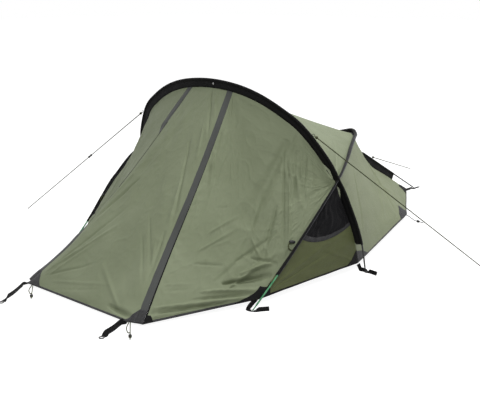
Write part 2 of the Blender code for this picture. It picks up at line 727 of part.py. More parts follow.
def build_corner_cords():
    """Elastic cords with their locks at the front and side corners."""
    rest = LOCK_RADIUS + 2 * REST_GAP
    for side, label in ((-1, "near"), (1, "far")):
        tuck = FRONT_PULL[2] - CORD_RADIUS
        start = np.array((*FRONT_CORD_STARTS[label], tuck))
        lock = np.array((*FRONT_LOCKS[label], rest))
        end = lock + FRONT_CORD_TAIL * (lock - start) * (1.0, 1.0, 0.0)
        build_corner_cord(f"front_cord_{label}", start, lock, end, side)
        start = SIDE_CORNER - (0.0, SIDE_CORD_INSET, CLEARANCE + CORD_RADIUS + REST_GAP)
        lock = np.array((*SIDE_LOCK, rest))
        end = np.array((*SIDE_CORD_END, rest))
        build_corner_cord(f"side_cord_{label}", start, lock, end, side)


def build_corner_cord(name, start, lock, end, side):
    """One cord from a hem corner through its lock, straight where the lock slides."""
    run = unit((lock - start) * (1.0, 1.0, 0.0))
    before = lock - run * LOCK_LENGTH * 2.0
    tail = lock + run * np.linalg.norm((end - lock)[:2])
    tucked = start + run * CORD_TUCK
    route = mirrored((start, tucked, before, lock, tail), side)
    points = np.vstack((route[:1], straight(route[1], route[2], 3), straight(route[2], route[4], 4)[1:]))
    tube(name, points, [CORD_RADIUS] * len(points), "black_tape")
    bored_barrel(f"{name}_lock", LOCK_RADIUS, LOCK_LENGTH, LOCK_BORE, route[3],
                 mirrored(run, side), "black_plastic")


def guy_anchor(hoops, side):
    """Point on the outside of the main hoop's sleeve where a guyline is tied."""
    above = hoops["main"][0]
    height = np.interp(GUY_WIDTH, above[:, 1], above[:, 2])
    back = np.interp(GUY_WIDTH, above[:, 1], above[:, 0])
    point = np.array((back, GUY_WIDTH, height))
    return mirrored(point, side), mirrored(outward(point), side)


def build_guyline(name, anchor, lead, end):
    """Ring on the sleeve and the line from it to the ground."""
    away = SLEEVE_BORE + SLEEVE_WALL + GUY_RING_RADIUS + GUY_RING_WIRE + CLEARANCE
    centre = anchor + lead * away
    finish_point = np.array((*end, GUYLINE_RADIUS + REST_GAP))
    run = unit(finish_point - centre)
    torus(f"{name}_ring", GUY_RING_RADIUS, GUY_RING_WIRE, centre, np.cross(lead, run), "black_tape")
    start = centre + run * (GUY_RING_RADIUS + GUY_RING_WIRE + CLEARANCE)
    points = straight(start, finish_point, 6)
    tube(name, points, [GUYLINE_RADIUS] * len(points), "guyline")
    return start, run, np.linalg.norm(finish_point - start)


def build_guylines(hoops):
    """Side guylines, the rear guyline and the runner on the far one."""
    anchor, lead = guy_anchor(hoops, 1)
    start, run, length = build_guyline("guyline_far", anchor, lead, FAR_GUY_END)
    bored_barrel("line_runner", RUNNER_RADIUS, RUNNER_LENGTH, GUYLINE_RADIUS + RUNNER_PLAY,
                 start + run * length * RUNNER_AT, run, "black_plastic")
    anchor, lead = guy_anchor(hoops, -1)
    build_guyline("guyline_near", anchor, lead, NEAR_GUY_END)
    line = unit(TAIL_POLE_FOOT - TAIL_POLE_TOP)
    lift = np.cross(line, (0.0, -1.0, 0.0))
    lift *= np.sign(lift[2])
    share = (TAIL_GUY_BACK - TAIL_POLE_TOP[0]) / line[0]
    build_guyline("guyline_tail", TAIL_POLE_TOP + share * line, lift, TAIL_GUY_END)


def inner_loops():
    """Arches of the inner tent at each section, from near to far, above the floor's rim."""
    loops = []
    for back, half, height in INNER_SECTIONS:
        right = [(back, half * out, FLOOR_RIM + CLEARANCE + (height - FLOOR_RIM) * up)
                 for out, up in INNER_ARCH]
        left = [(back, -out, up) for back, out, up in right[:-1]]
        loops.append(left + right[::-1])
    return loops


def build_inner_tent():
    """Inner tent: an arched shell, open in front, closed at the tail, on the floor's rim."""
    loops = inner_loops()
    mesh = bmesh.new()
    rows = [[mesh.verts.new(point) for point in loop] for loop in loops]
    for here, there in zip(rows, rows[1:]):
        for index in range(len(here) - 1):
            mesh.faces.new((here[index], here[index + 1], there[index + 1], there[index]))
    mesh.faces.new(rows[-1])
    bmesh.ops.triangulate(mesh, faces=mesh.faces)
    item = mesh_object("inner_tent", mesh, "inner_cloth")
    wall = item.modifiers.new("wall", "SOLIDIFY")
    wall.thickness = CLOTH
    wall.offset = -1.0
    flip_outward(item)


def flip_outward(item):
    """Make an open shell's faces point away from the middle of the floor."""
    mesh = item.data
    middle = Vector((CORE_BACK, 0.0, 0.1))
    score = sum((face.center - middle).normalized().dot(face.normal) * face.area
                for face in mesh.polygons)
    if score < 0:
        mesh.flip_normals()


def build_groundsheet():
    """Floor with a low rim that the inner tent's walls stand on."""
    outline = [(back, half) for back, half, _ in INNER_SECTIONS]
    plan = [(back, -half) for back, half in outline] + [(back, half) for back, half in outline[::-1]]
    mesh = bmesh.new()
    bottom = [mesh.verts.new((back, out, 0.0)) for back, out in plan]
    rim = [mesh.verts.new((back, out, FLOOR_RIM)) for back, out in plan]
    mesh.faces.new(bottom)
    for index in range(len(plan)):
        other = (index + 1) % len(plan)
        mesh.faces.new((bottom[index], bottom[other], rim[other], rim[index]))
    bmesh.ops.triangulate(mesh, faces=mesh.faces)
    item = mesh_object("groundsheet", mesh, "floor_cloth")
    thick = item.modifiers.new("thickness", "SOLIDIFY")
    thick.thickness = FLOOR_THICKNESS
    thick.offset = -1.0
    flip_outward(item)


def build_hangers(hoops):
    """Tapes that hang the inner tent from the canopy's ridge."""
    front, rear = hoops["main_seam"][0], hoops["rear_seam"][0]
    backs, _, heights = zip(*INNER_SECTIONS)
    for label, share in HANGERS_AT.items():
        middle = front[0] * (1 - share) + rear[0] * share
        mesh = bmesh.new()
        for corner in bmesh.ops.create_cube(mesh, size=1.0)["verts"]:
            back = middle + corner.co.x * HANGER_WIDTH
            if corner.co.z > 0:
                roof = np.interp(back, (front[0], rear[0]), (front[2], rear[2]))
                height = roof - CLOTH * 1.05 - CLEARANCE
            else:
                height = np.interp(back, backs, heights) + 2 * CLEARANCE
            corner.co = Vector((back, corner.co.y * HANGER_THICKNESS, height))
        mesh_object(f"hanger_{label}", mesh, "grey_tape")


def centre_on_origin():
    """Move the tent so that its footprint, without the free cords, is centred on the origin."""
    bpy.context.view_layer.update()
    graph = bpy.context.evaluated_depsgraph_get()
    reach = []
    for item in TENT.objects:
        if any(word in item.name for word in ("cord", "guyline", "runner")):
            continue
        shape = item.evaluated_get(graph)
        reach += [(shape.matrix_world @ Vector(corner)).x for corner in shape.bound_box]
    middle = (min(reach) + max(reach)) / 2
    for item in list(TENT.objects) + list(CUTTERS.objects):
        item.location.x -= middle
    return middle


def build():
    """Make the whole tent."""
    hoops = hoop_frames()
    ridge = tail_ridge_line(hoops)
    build_poles(hoops)
    build_sleeves(hoops, ridge)
    build_front_panel(hoops)
    for side, label in ((-1, "near"), (1, "far")):
        side_of_canopy(hoops, ridge, side, label)
        build_slider(hoops, side, label)
    build_straps(hoops)
    build_corner_cords()
    build_guylines(hoops)
    build_inner_tent()
    build_groundsheet()
    build_hangers(hoops)
    centre_on_origin()


build()
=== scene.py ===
"""Two-person tent, dressed: cloth, sleeves, poles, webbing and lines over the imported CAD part.

Lengths are in metres. Shapes are drawn in the pattern frame, with x measured backwards from
the front hem, and are moved by SHIFT into the part's own frame when their mesh is made.
"""

import logging
import math
from dataclasses import dataclass, field
from enum import Enum
from typing import Sequence

import bpy
import numpy as np
from numpy.typing import ArrayLike, NDArray
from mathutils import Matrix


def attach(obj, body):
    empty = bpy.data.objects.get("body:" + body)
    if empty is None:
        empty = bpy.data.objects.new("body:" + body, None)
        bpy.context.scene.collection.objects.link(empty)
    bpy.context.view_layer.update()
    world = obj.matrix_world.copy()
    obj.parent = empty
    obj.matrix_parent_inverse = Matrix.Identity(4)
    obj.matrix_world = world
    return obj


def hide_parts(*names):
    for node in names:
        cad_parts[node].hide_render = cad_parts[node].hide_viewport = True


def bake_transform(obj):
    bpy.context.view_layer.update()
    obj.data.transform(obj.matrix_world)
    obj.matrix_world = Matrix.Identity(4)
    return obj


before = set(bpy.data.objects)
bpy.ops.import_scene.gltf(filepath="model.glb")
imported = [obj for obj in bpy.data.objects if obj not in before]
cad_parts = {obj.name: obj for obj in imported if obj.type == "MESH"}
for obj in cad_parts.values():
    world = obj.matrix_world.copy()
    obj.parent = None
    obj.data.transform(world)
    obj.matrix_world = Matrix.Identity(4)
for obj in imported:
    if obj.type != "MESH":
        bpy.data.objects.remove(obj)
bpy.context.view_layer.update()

LOG = logging.getLogger("tent")
Points = NDArray[np.float64]
Rows = Sequence[Sequence[float]]
Levels = tuple[int, int, int]
Piece = bpy.types.Object
Socket = bpy.types.NodeSocket
SHIFT = np.array((1.52086, 0.0, 0.0))
# Span round a sleeve, in metres of its UV, that keeps the webbing's own colour; the rest of the way round is
# painted shade.
SLEEVE_UNSHADED_SPAN = (0.0225, 0.0525)
SLEEVE_ROUND = 0.06
CORE = np.array((1.5, 0.0, 0.0))
CORE_SIZE = np.array((1.7, 0.8, 0.8))
UP = np.array((0.0, 0.0, 1.0))
WHITE = (1.0, 1.0, 1.0, 1.0)


# ---- lines and grids


def place(points: ArrayLike) -> Points:
    """Move points from the pattern frame to the part's frame."""
    return np.asarray(points, dtype=float) - SHIFT


def unit(vectors: ArrayLike) -> Points:
    """Scale a vector, or each vector of an array, to length one."""
    vectors = np.asarray(vectors, dtype=float)
    return vectors / np.maximum(np.linalg.norm(vectors, axis=-1, keepdims=True), 1e-12)


def outward(points: ArrayLike) -> Points:
    """Direction that leads out of the tent: the normal of an ellipsoid about its core."""
    return unit((np.asarray(points, dtype=float) - CORE) / CORE_SIZE**2)


def cubic(a: Points, b: Points, c: Points, d: Points, t: Points) -> Points:
    """Catmull-Rom cubic from b to c, whose slopes are half the neighbours' chord, at shares t."""
    return 0.5 * (2 * b + (c - a) * t + (2 * a - 5 * b + 4 * c - d) * t**2
                  + (3 * b - a - 3 * c + d) * t**3)


def smooth_curve(points: ArrayLike, per_span: int = 24) -> Points:
    """Catmull-Rom curve: a cubic on each span.

    Args:
        points: points that the curve passes through.
        per_span: points put on each span.

    Returns:
        The dense line.
    """
    points = np.asarray(points, dtype=float)
    padded = np.vstack((2 * points[0] - points[1], points, 2 * points[-1] - points[-2]))
    t = np.linspace(0.0, 1.0, per_span, endpoint=False)[:, None]
    spans = cubic(*(padded[k:len(points) - 1 + k, None] for k in range(4)), t)
    return np.vstack((spans.reshape(-1, 3), points[-1]))


def lengths_along(line: Points) -> Points:
    """Length along a line at each of its points."""
    return np.concatenate(([0.0], np.cumsum(np.linalg.norm(np.diff(line, axis=0), axis=1))))


def at_lengths(line: Points, lengths: ArrayLike) -> Points:
    """Points of a line at the given lengths along it."""
    along = lengths_along(line)
    return np.column_stack([np.interp(lengths, along, line[:, axis]) for axis in range(3)])


def shares(count: int) -> Points:
    """Even shares from 0 to 1, count of them."""
    return np.linspace(0.0, 1.0, count)


def evenly(line: Points, count: int) -> Points:
    """A line's points at equal lengths, count of them."""
    return at_lengths(line, np.linspace(0.0, lengths_along(line)[-1], count))


def straight(start: ArrayLike, end: ArrayLike, count: int) -> Points:
    """Evenly spaced points from start to end, count of them."""
    share = shares(count)[:, None]
    return np.asarray(start, dtype=float) * (1 - share) + np.asarray(end, dtype=float) * share


def mirrored(points: ArrayLike, side: float) -> Points:
    """Put points drawn for the far side on the far (+1) or near (-1) side."""
    return np.asarray(points, dtype=float) * (1.0, side, 1.0)


def ruled(first: Points, second: Points, count: int) -> Points:
    """Grid of straight rulings from each point of one line to the same one of another."""
    share = shares(count)[:, None, None]
    return first[None] * (1 - share) + second[None] * share


def coons(top: Points, bottom: Points, left: Points, right: Points) -> Points:
    """Patch spanned by four edges: the sum of both rulings less the bilinear patch.

    Args:
        top: first row, from left to right.
        bottom: last row, from left to right.
        left: first column, from top to bottom.
        right: last column, from top to bottom.

    Returns:
        Grid of points, rows by columns.
    """
    u = shares(len(top))[None, :, None]
    v = shares(len(left))[:, None, None]
    sides = left[:, None] * (1 - u) + right[:, None] * u
    rows = top[None] * (1 - v) + bottom[None] * v
    corners = (top[0] * (1 - u) + top[-1] * u) * (1 - v) + (bottom[0] * (1 - u) + bottom[-1] * u) * v
    return sides + rows - corners


def relaxed(grid: Points, rounds: int, held: Sequence[int] = ()) -> Points:
    """Membrane under tension: each inner point goes to the mean of its four neighbours.

    Args:
        grid: rows by columns of points, whose border stays.
        rounds: number of passes.
        held: columns that stay as well.

    Returns:
        The relaxed grid.
    """
    grid = np.array(grid)
    held = list(held)
    kept = grid[:, held].copy()
    for _ in range(rounds):
        grid[1:-1, 1:-1] = (grid[:-2, 1:-1] + grid[2:, 1:-1] + grid[1:-1, :-2] + grid[1:-1, 2:]) / 4
        grid[:, held] = kept
    return grid


def resampled(grid: Points, rows: int, columns: int) -> Points:
    """Finer grid through the same points, cubic along rows and then along columns.

    Args:
        grid: rows by columns of points or heights.
        rows: number of rows wanted.
        columns: number of columns wanted.

    Returns:
        The finer grid.
    """
    for axis, count in ((0, rows), (1, columns)):
        grid = np.moveaxis(grid, axis, 0)
        where = np.linspace(0.0, len(grid) - 1, count)
        low = np.minimum(where.astype(int), len(grid) - 2)
        t = (where - low)[:, None, None]
        padded = np.concatenate((2 * grid[:1] - grid[1:2], grid, 2 * grid[-1:] - grid[-2:-1]))
        grid = np.moveaxis(cubic(*(padded[low + k] for k in range(4)), t), 0, axis)
    return grid


def smooth_step(value: ArrayLike) -> Points:
    """Ease from 0 to 1 as value goes from 0 to 1."""
    value = np.clip(value, 0.0, 1.0)
    return value * value * (3 - 2 * value)


def soft_noise(shape: tuple[int, int], cells: tuple[int, int], seed: int) -> Points:
    """Smooth seeded noise about 0: a coarse grid of random heights, drawn out with cubics."""
    coarse = np.random.default_rng(seed).normal(0.0, 1.0, (cells[0] + 2, cells[1] + 2, 1))
    return resampled(coarse, *shape)[..., 0]


def bump(value: Points, low: float, high: float, lean: float = 1.0) -> Points:
    """Smooth hump of height 1 between low and high; a lean above 1 moves its top towards high."""
    share = np.clip((value - low) / (high - low), 0.0, 1.0) ** lean
    return np.sin(math.pi * share) ** 2


def plateau(value: Points, start: float, rise: float, end: float, fall: float) -> Points:
    """Ease up from 0 to 1 over rise after start, and down to 0 over fall before end."""
    return smooth_step((value - start) / rise) * smooth_step((end - value) / fall)


def window(u: Points, v: Points, spans: Rows) -> Points:
    """Product of a hump across the first span of u and one down the second span of v."""
    return bump(u, *spans[0]) * bump(v, *spans[1])


def pleats(u: Points, shape: tuple[int, int], count: float, wobble: float, noise: Sequence) -> Points:
    """Upright waves, count of them, whose phase wanders by wobble times soft noise."""
    return np.sin(2 * math.pi * (count * u + wobble * soft_noise(shape, *noise)))


def grid_quads(rows: int, columns: int, wrap: bool = False, closed: bool = False) -> NDArray[np.int64]:
    """Quads of a grid whose points are numbered row by row.

    Args:
        rows: number of rows.
        columns: number of columns.
        wrap: whether the last column joins the first.
        closed: whether the last row joins the first.

    Returns:
        Array of quads.
    """
    index = np.arange(rows * columns).reshape(rows, columns)
    if wrap:
        index = np.column_stack((index, index[:, 0]))
    if closed:
        index = np.vstack((index, index[:1]))
    return np.stack((index[:-1, :-1], index[:-1, 1:], index[1:, 1:], index[1:, :-1]), -1).reshape(-1, 4)


# ---- names and bodies


class Side(float, Enum):
    """Near side of the tent, towards the camera, or far side."""

    NEAR = -1.0
    FAR = 1.0

    def __format__(self, _: str) -> str:
        """The side's word in node and body names."""
        return self.name.lower()


class Slot(Enum):
    """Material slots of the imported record."""

    CANOPY = "canopy"
    CANOPY_REAR = "canopy_rear"
    SIDE_CLOTH = "side_cloth"
    MESH_CLOTH = "mesh_cloth"
    STRIP_CLOTH = "strip_cloth"
    BLACK_TAPE = "black_tape"
    GREY_TAPE = "grey_tape"
    POLE_BLACK = "pole_black"
    POLE_GREEN = "pole_green"
    RING_METAL = "ring_metal"
    BLACK_PLASTIC = "black_plastic"
    GUYLINE = "guyline"
    INNER_CLOTH = "inner_cloth"
    FLOOR_CLOTH = "floor_cloth"


# ---- finishes


def linear(levels: Levels) -> tuple[float, float, float, float]:
    """Colour that a shader takes, by the sRGB curve.

    Args:
        levels: red, green and blue as display levels of 0 to 255.

    Returns:
        Linear red, green and blue, then 1.
    """
    share = np.array(levels) / 255
    values = np.where(share <= 0.04045, share / 12.92, ((share + 0.055) / 1.055) ** 2.4)
    return (*(float(value) for value in values), 1.0)


class Graph:
    """Node tree of a material or of the world."""

    def __init__(self, owner: bpy.types.Material | bpy.types.World) -> None:
        """Switch the owner's nodes on and take its tree.

        Args:
            owner: a new material or world.
        """
        owner.use_nodes = True
        self.owner = owner
        self.tree = owner.node_tree

    @classmethod
    def of_material(cls, name: str) -> "Graph":
        """Graph of a new material."""
        return cls(bpy.data.materials.new(name))

    def add(self, kind: str, inputs: dict | None = None, **settings: object) -> bpy.types.Node:
        """Add a node.

        Args:
            kind: the node's type without the word ShaderNode.
            inputs: values or output sockets for its inputs.
            settings: the node's own settings.

        Returns:
            The node.
        """
        node = self.tree.nodes.new("ShaderNode" + kind)
        for key, value in settings.items():
            setattr(node, key, value)
        for key, value in (inputs or {}).items():
            self.feed(node, key, value)
        return node

    def feed(self, node: bpy.types.Node, key: str | int, value: object) -> None:
        """Give a node's input a value, or link an output socket to it.

        Args:
            node: the node.
            key: name or number of the input.
            value: the value or the socket.
        """
        if isinstance(value, Socket):
            self.tree.links.new(value, node.inputs[key])
        else:
            node.inputs[key].default_value = value

    def surface(self, **values: object) -> None:
        """Set the surface shader's inputs, with spaces written as underscores."""
        for key, value in values.items():
            self.feed(self.tree.nodes["Principled BSDF"], key.replace("_", " "), value)

    def uv(self) -> Socket:
        """The piece's own UV map, in metres along and across the cloth."""
        return self.add("TexCoord").outputs["UV"]

    def place(self) -> Socket:
        """Object coordinates, in metres."""
        return self.add("TexCoord").outputs["Object"]

    def noise(self, where: Socket, scale: float, detail: float = 2.0) -> Socket:
        """Noise height of a size given by scale, per metre."""
        return self.add("TexNoise", {"Vector": where, "Scale": scale, "Detail": detail}).outputs["Fac"]

    def wave(self, where: Socket, scale: float, along: str) -> Socket:
        """Straight sine waves across X, Y or the diagonal, scale of them in each 0.3 m or so."""
        return self.add("TexWave", {"Vector": where, "Scale": scale, "Distortion": 0.0},
                        bands_direction=along).outputs["Fac"]

    def maths(self, operation: str, *values: object) -> Socket:
        """One operation on values or sockets."""
        return self.add("Math", dict(enumerate(values)), operation=operation).outputs[0]

    def ramp(self, value: Socket, low: float, high: float, first: Levels,
             second: Levels) -> Socket:
        """Colour that goes from first to second as value goes from low to high.

        Args:
            value: the socket that it follows.
            low: value at the first colour.
            high: value at the second colour.
            first: display levels of the first colour.
            second: display levels of the second colour.

        Returns:
            The colour's socket.
        """
        node = self.add("ValToRGB", {"Fac": value})
        for stop, (position, colour) in zip(node.color_ramp.elements, ((low, first), (high, second))):
            stop.position = position
            stop.color = linear(colour)
        return node.outputs["Color"]

    def rough(self, where: Socket, scale: float, detail: float, low: float,
              span: float) -> None:
        """Roughness of the surface shader: low plus span times noise."""
        noise = self.noise(where, scale, detail)
        self.surface(Roughness=self.maths("MULTIPLY_ADD", noise, span, low))

    def bump(self, height: Socket, strength: float, distance: float) -> None:
        """Relief of the surface shader: height times distance in metres."""
        node = self.add("Bump", {"Height": height, "Strength": strength, "Distance": distance})
        self.surface(Normal=node.outputs["Normal"])

    def seen_directly(self) -> Socket:
        """Share that is 1 for what the camera sees, also in gloss and through glass.

        Returns:
            The largest of three outputs of Light Path.
        """
        path = self.add("LightPath").outputs
        seen = self.maths("MAXIMUM", path["Is Camera Ray"], path["Is Glossy Ray"])
        return self.maths("MAXIMUM", seen, path["Is Transmission Ray"])


@dataclass(frozen=True)
class CoatedCloth:
    """Thin coated cloth with a fine square weave, soft crumples and uneven colour."""

    name: str
    colour: Levels
    shade: Levels
    grid: float = 190.0
    roughness: float = 0.62
    sheen: float = 0.015
    crumple: float = 0.5

    def make(self) -> bpy.types.Material:
        """Build the material: threads and crumples as relief, colour and roughness by noise.

        Returns:
            The material.
        """
        graph = Graph.of_material(self.name)
        uv, spot = graph.uv(), graph.place()
        patches = graph.noise(spot, 3.2, 4.0)
        graph.surface(Base_Color=graph.ramp(patches, 0.34, 0.66, self.shade, self.colour),
                      Sheen_Weight=self.sheen, Sheen_Roughness=0.4, Specular_IOR_Level=0.22)
        graph.rough(spot, 24.0, 3.0, self.roughness - 0.08, 0.16)
        cross = graph.maths("MAXIMUM", graph.wave(uv, self.grid, "X"), graph.wave(uv, self.grid, "Y"))
        threads = graph.maths("MULTIPLY", cross, 0.06)
        crumple = graph.maths("MULTIPLY", graph.noise(spot, 17.0, 5.0), self.crumple)
        graph.bump(graph.maths("ADD", threads, crumple), 0.45, 0.006)
        return graph.owner


@dataclass(frozen=True)
class NetCloth:
    """Fine net, made as an opaque sheet: dark threads, with painted shade in the holes between them for the
    dark inside seen through them.
    """

    name: str
    thread: Levels
    # Colour of the holes: painted shade that stands for the dark inside seen through the net.
    hole: Levels
    pitch: float = 260.0

    def make(self) -> bpy.types.Material:
        """Build the material: threads where either of two crossed waves is high.

        Returns:
            The material.
        """
        graph = Graph.of_material(self.name)
        uv = graph.uv()
        cross = graph.maths("MAXIMUM", graph.wave(uv, self.pitch, "X"), graph.wave(uv, self.pitch, "Y"))
        # Low in the holes, which get the painted shade; the noise gives the threads an uneven tone.
        worn = graph.maths("MULTIPLY", cross, graph.noise(graph.place(), 9.0, 3.0))
        graph.surface(Base_Color=graph.ramp(worn, 0.15, 0.6, self.hole, self.thread),
                      Roughness=0.9, Sheen_Weight=0.02, Sheen_Roughness=0.5, Specular_IOR_Level=0.08)
        graph.bump(cross, 0.4, 0.0008)
        return graph.owner


@dataclass(frozen=True)
class Webbing:
    """Woven band: ribs across, finer threads along; a sleeve may carry painted shade, a dark colour on all
    but one span round it.
    """

    name: str
    colour: Levels
    rib: Levels
    sheen: float = 0.05
    # Colour of the painted shade that covers a sleeve outside its one unshaded span.
    front: Levels | None = None
    ribs: float = 480.0
    roughness: float = 0.7

    def make(self) -> bpy.types.Material:
        """Build the material: relief and colour by the product of two crossed waves.

        Returns:
            The material.
        """
        graph = Graph.of_material(self.name)
        uv = graph.uv()
        weave = graph.maths("MULTIPLY", graph.wave(uv, self.ribs, "X"),
                            graph.wave(uv, self.ribs * 1.4, "Y"))
        tone = graph.maths("MULTIPLY_ADD", graph.noise(graph.place(), 40.0, 3.0), 0.6, weave)
        colour = graph.ramp(tone, 0.25, 0.95, self.colour, self.rib)
        # Painted shade: outside one span round the sleeve the colour is the dark one, as if that side were in
        # shadow.
        if self.front:
            round_it = graph.add("SeparateXYZ", {"Vector": uv}).outputs["Y"]
            behind = graph.maths("MULTIPLY", graph.maths("GREATER_THAN", round_it, SLEEVE_UNSHADED_SPAN[0]),
                                 graph.maths("LESS_THAN", round_it, SLEEVE_UNSHADED_SPAN[1]))
            mix = graph.add("Mix", {"Factor": behind}, data_type="RGBA")
            graph.feed(mix, 6, linear(self.front))
            graph.feed(mix, 7, colour)
            colour = mix.outputs[2]
        graph.surface(Base_Color=colour, Roughness=self.roughness, Sheen_Weight=self.sheen,
                      Sheen_Roughness=0.5, Specular_IOR_Level=0.12)
        graph.bump(weave, 0.6, 0.0006)
        return graph.owner


@dataclass(frozen=True)
class Tube:
    """Drawn metal or moulded plastic with fine marks along it."""

    name: str
    colour: Levels
    worn: Levels
    metallic: float
    roughness: float

    def make(self) -> bpy.types.Material:
        """Build the material: colour, roughness and relief by noise of three sizes.

        Returns:
            The material.
        """
        graph = Graph.of_material(self.name)
        spot = graph.place()
        marks = graph.noise(spot, 55.0, 4.0)
        graph.surface(Base_Color=graph.ramp(marks, 0.42, 0.78, self.colour, self.worn),
                      Metallic=self.metallic)
        graph.rough(spot, 160.0, 2.0, self.roughness - 0.1, 0.2)
        graph.bump(graph.noise(spot, 420.0, 2.0), 0.15, 0.0004)
        return graph.owner


@dataclass(frozen=True)
class Braid:
    """Braided cord: strands that wind round it, with a tracer thread."""

    name: str
    colour: Levels
    tracer: Levels

    def make(self) -> bpy.types.Material:
        """Build the material: slanting strands as relief, and as colour where noise is high.

        Returns:
            The material.
        """
        graph = Graph.of_material(self.name)
        strands = graph.wave(graph.uv(), 95.0, "DIAGONAL")
        tone = graph.maths("MULTIPLY", strands, graph.noise(graph.place(), 30.0, 2.0))
        graph.surface(Base_Color=graph.ramp(tone, 0.2, 0.75, self.colour, self.tracer),
                      Roughness=0.8, Sheen_Weight=0.02, Sheen_Roughness=0.5, Specular_IOR_Level=0.1)
        graph.bump(strands, 0.5, 0.0005)
        return graph.owner


class Finishes:
    """All finishes of the tent, by material slot, and those that a few pieces have instead."""

    def __init__(self) -> None:
        """Make every material."""
        self.by_slot: dict[Slot, bpy.types.Material] = {slot: finish.make() for slot, finish in {
            Slot.CANOPY: CoatedCloth("canopy_cloth", (124, 132, 106), (116, 124, 98)),
            Slot.CANOPY_REAR: CoatedCloth("rear_canopy_cloth", (127, 134, 107), (118, 125, 98)),
            Slot.SIDE_CLOTH: CoatedCloth("skirt_cloth", (97, 103, 68), (88, 94, 60)),
            Slot.MESH_CLOTH: NetCloth("vent_net", (40, 40, 41), (15, 15, 17)),
            Slot.STRIP_CLOTH: CoatedCloth("zip_strip_cloth", (72, 74, 72), (63, 65, 63), sheen=0.05),
            Slot.BLACK_TAPE: Webbing("black_webbing", (9, 9, 9), (19, 19, 19), 0.0),
            Slot.GREY_TAPE: Webbing("grey_webbing", (52, 52, 53), (72, 72, 73), 0.04),
            Slot.POLE_BLACK: Tube("black_pole", (14, 15, 15), (30, 31, 31), 0.3, 0.42),
            Slot.POLE_GREEN: Tube("green_pole", (44, 116, 72), (84, 152, 108), 0.2, 0.42),
            Slot.RING_METAL: Tube("dark_steel_ring", (46, 46, 47), (84, 84, 84), 0.6, 0.4),
            Slot.BLACK_PLASTIC: Tube("black_plastic", (14, 14, 15), (28, 28, 29), 0.0, 0.55),
            Slot.GUYLINE: Braid("line_braid", (66, 68, 48), (90, 92, 68)),
            Slot.INNER_CLOTH: CoatedCloth("inner_cloth", (206, 204, 190), (192, 190, 176), sheen=0.2),
            Slot.FLOOR_CLOTH: CoatedCloth("floor_cloth", (66, 70, 66), (56, 60, 56), crumple=0.8),
        }.items()}
        # Rear sleeve: grey webbing with painted shade, black on all but one span round it.
        self.two_faced = Webbing("grey_and_black_sleeve", (60, 60, 64), (82, 82, 86),
                                 front=(12, 12, 12)).make()
        self.bright = Tube("bright_steel_eyelet", (176, 176, 174), (206, 206, 204), 0.4, 0.3).make()
        self.olive_cord = Braid("olive_cord", (70, 74, 48), (104, 108, 76)).make()
        self.elastic = Braid("elastic_braid", (16, 16, 17), (48, 48, 50)).make()


# ---- meshes


def volume_sign(points: Points, faces: list[NDArray[np.int64]]) -> float:
    """Sign of a closed mesh's volume, summed over fans of its faces.

    Args:
        points: the mesh's points.
        faces: groups of faces.

    Returns:
        1, or -1 where the faces point inwards.
    """
    total = 0.0
    for group in faces:
        first = points[group[:, 0]]
        for k in range(1, group.shape[1] - 1):
            total += np.sum(first * np.cross(points[group[:, k]], points[group[:, k + 1]]))
    return math.copysign(1.0, total)


def new_piece(name: str, points: Points, faces: list[NDArray[np.int64]], uv: Points | None = None,
              flat: Sequence[int] = ()) -> Piece:
    """Make a closed mesh object from points in the pattern frame.

    Args:
        name: the piece's name.
        points: its points.
        faces: groups of faces, each an array with one face a row.
        uv: a place on the cloth, in metres, for each point.
        flat: numbers of the groups that are shaded flat.

    Returns:
        The object, with its faces pointing outwards.
    """
    points = place(points.reshape(-1, 3))
    if volume_sign(points - points.mean(axis=0), faces) < 0:
        faces = [group[:, ::-1] for group in faces]
    mesh = bpy.data.meshes.new(name)
    mesh.from_pydata(points.tolist(), [], [face for group in faces for face in group.tolist()])
    smooth = np.concatenate([np.full(len(group), number not in flat)
                             for number, group in enumerate(faces)])
    mesh.polygons.foreach_set("use_smooth", smooth)
    if uv is not None:
        corners = np.concatenate([group.ravel() for group in faces])
        layer = mesh.uv_layers.new(name="cloth")
        layer.data.foreach_set("uv", uv.reshape(-1, 2)[corners].astype(np.float32).ravel())
    mesh.update()
    piece = bpy.data.objects.new(name, mesh)
    bpy.context.scene.collection.objects.link(piece)
    return piece


def swept(path: Points, normal: Points, profile: Points) -> Points:
    """Rings of a profile carried along a path.

    Each ring point is path + p0 * side + p1 * normal, where side is square to the path and
    to normal, and normal is taken square to the path.

    Args:
        path: points of the path.
        normal: a direction for each point, or one for all.
        profile: (p0, p1) for each point of the ring, the same for all rings or one set each.

    Returns:
        Rings by ring points.
    """
    tangent = unit(np.gradient(path, axis=0))
    normal = np.broadcast_to(normal, path.shape)
    normal = unit(normal - tangent * np.sum(normal * tangent, axis=1, keepdims=True))
    side = np.cross(tangent, normal)
    profile = np.broadcast_to(profile, (len(path), *np.shape(profile)[-2:]))
    return (path[:, None] + profile[..., :1] * side[:, None] + profile[..., 1:] * normal[:, None])


def ring_uv(rings: Points) -> Points:
    """Place on a swept skin in metres.

    Args:
        rings: rings by ring points.

    Returns:
        Length along the path and length round the ring, for each point.
    """
    along = lengths_along(rings.mean(axis=1))[:, None]
    round_it = np.linalg.norm(np.diff(rings, axis=1, append=rings[:, :1]), axis=2)
    return np.stack(np.broadcast_arrays(along, np.cumsum(round_it, axis=1)), axis=-1)


def skin(name: str, rings: Points, closed: bool = False) -> Piece:
    """Closed solid through rings, with a flat face at each end unless the rings close on themselves.

    Args:
        name: the piece's name.
        rings: rings by ring points.
        closed: whether the last ring joins the first.

    Returns:
        The piece.
    """
    rows, columns = rings.shape[:2]
    faces = [grid_quads(rows, columns, wrap=True, closed=closed)]
    if not closed:
        faces.append(np.stack((np.arange(columns)[::-1], (rows - 1) * columns + np.arange(columns))))
    return new_piece(name, rings, faces, ring_uv(rings), flat=(1,))


def circle(count: int, radius: float = 1.0) -> Points:
    """Points round a circle."""
    angle = np.linspace(0.0, 2 * math.pi, count, endpoint=False)
    return radius * np.column_stack((np.cos(angle), np.sin(angle)))


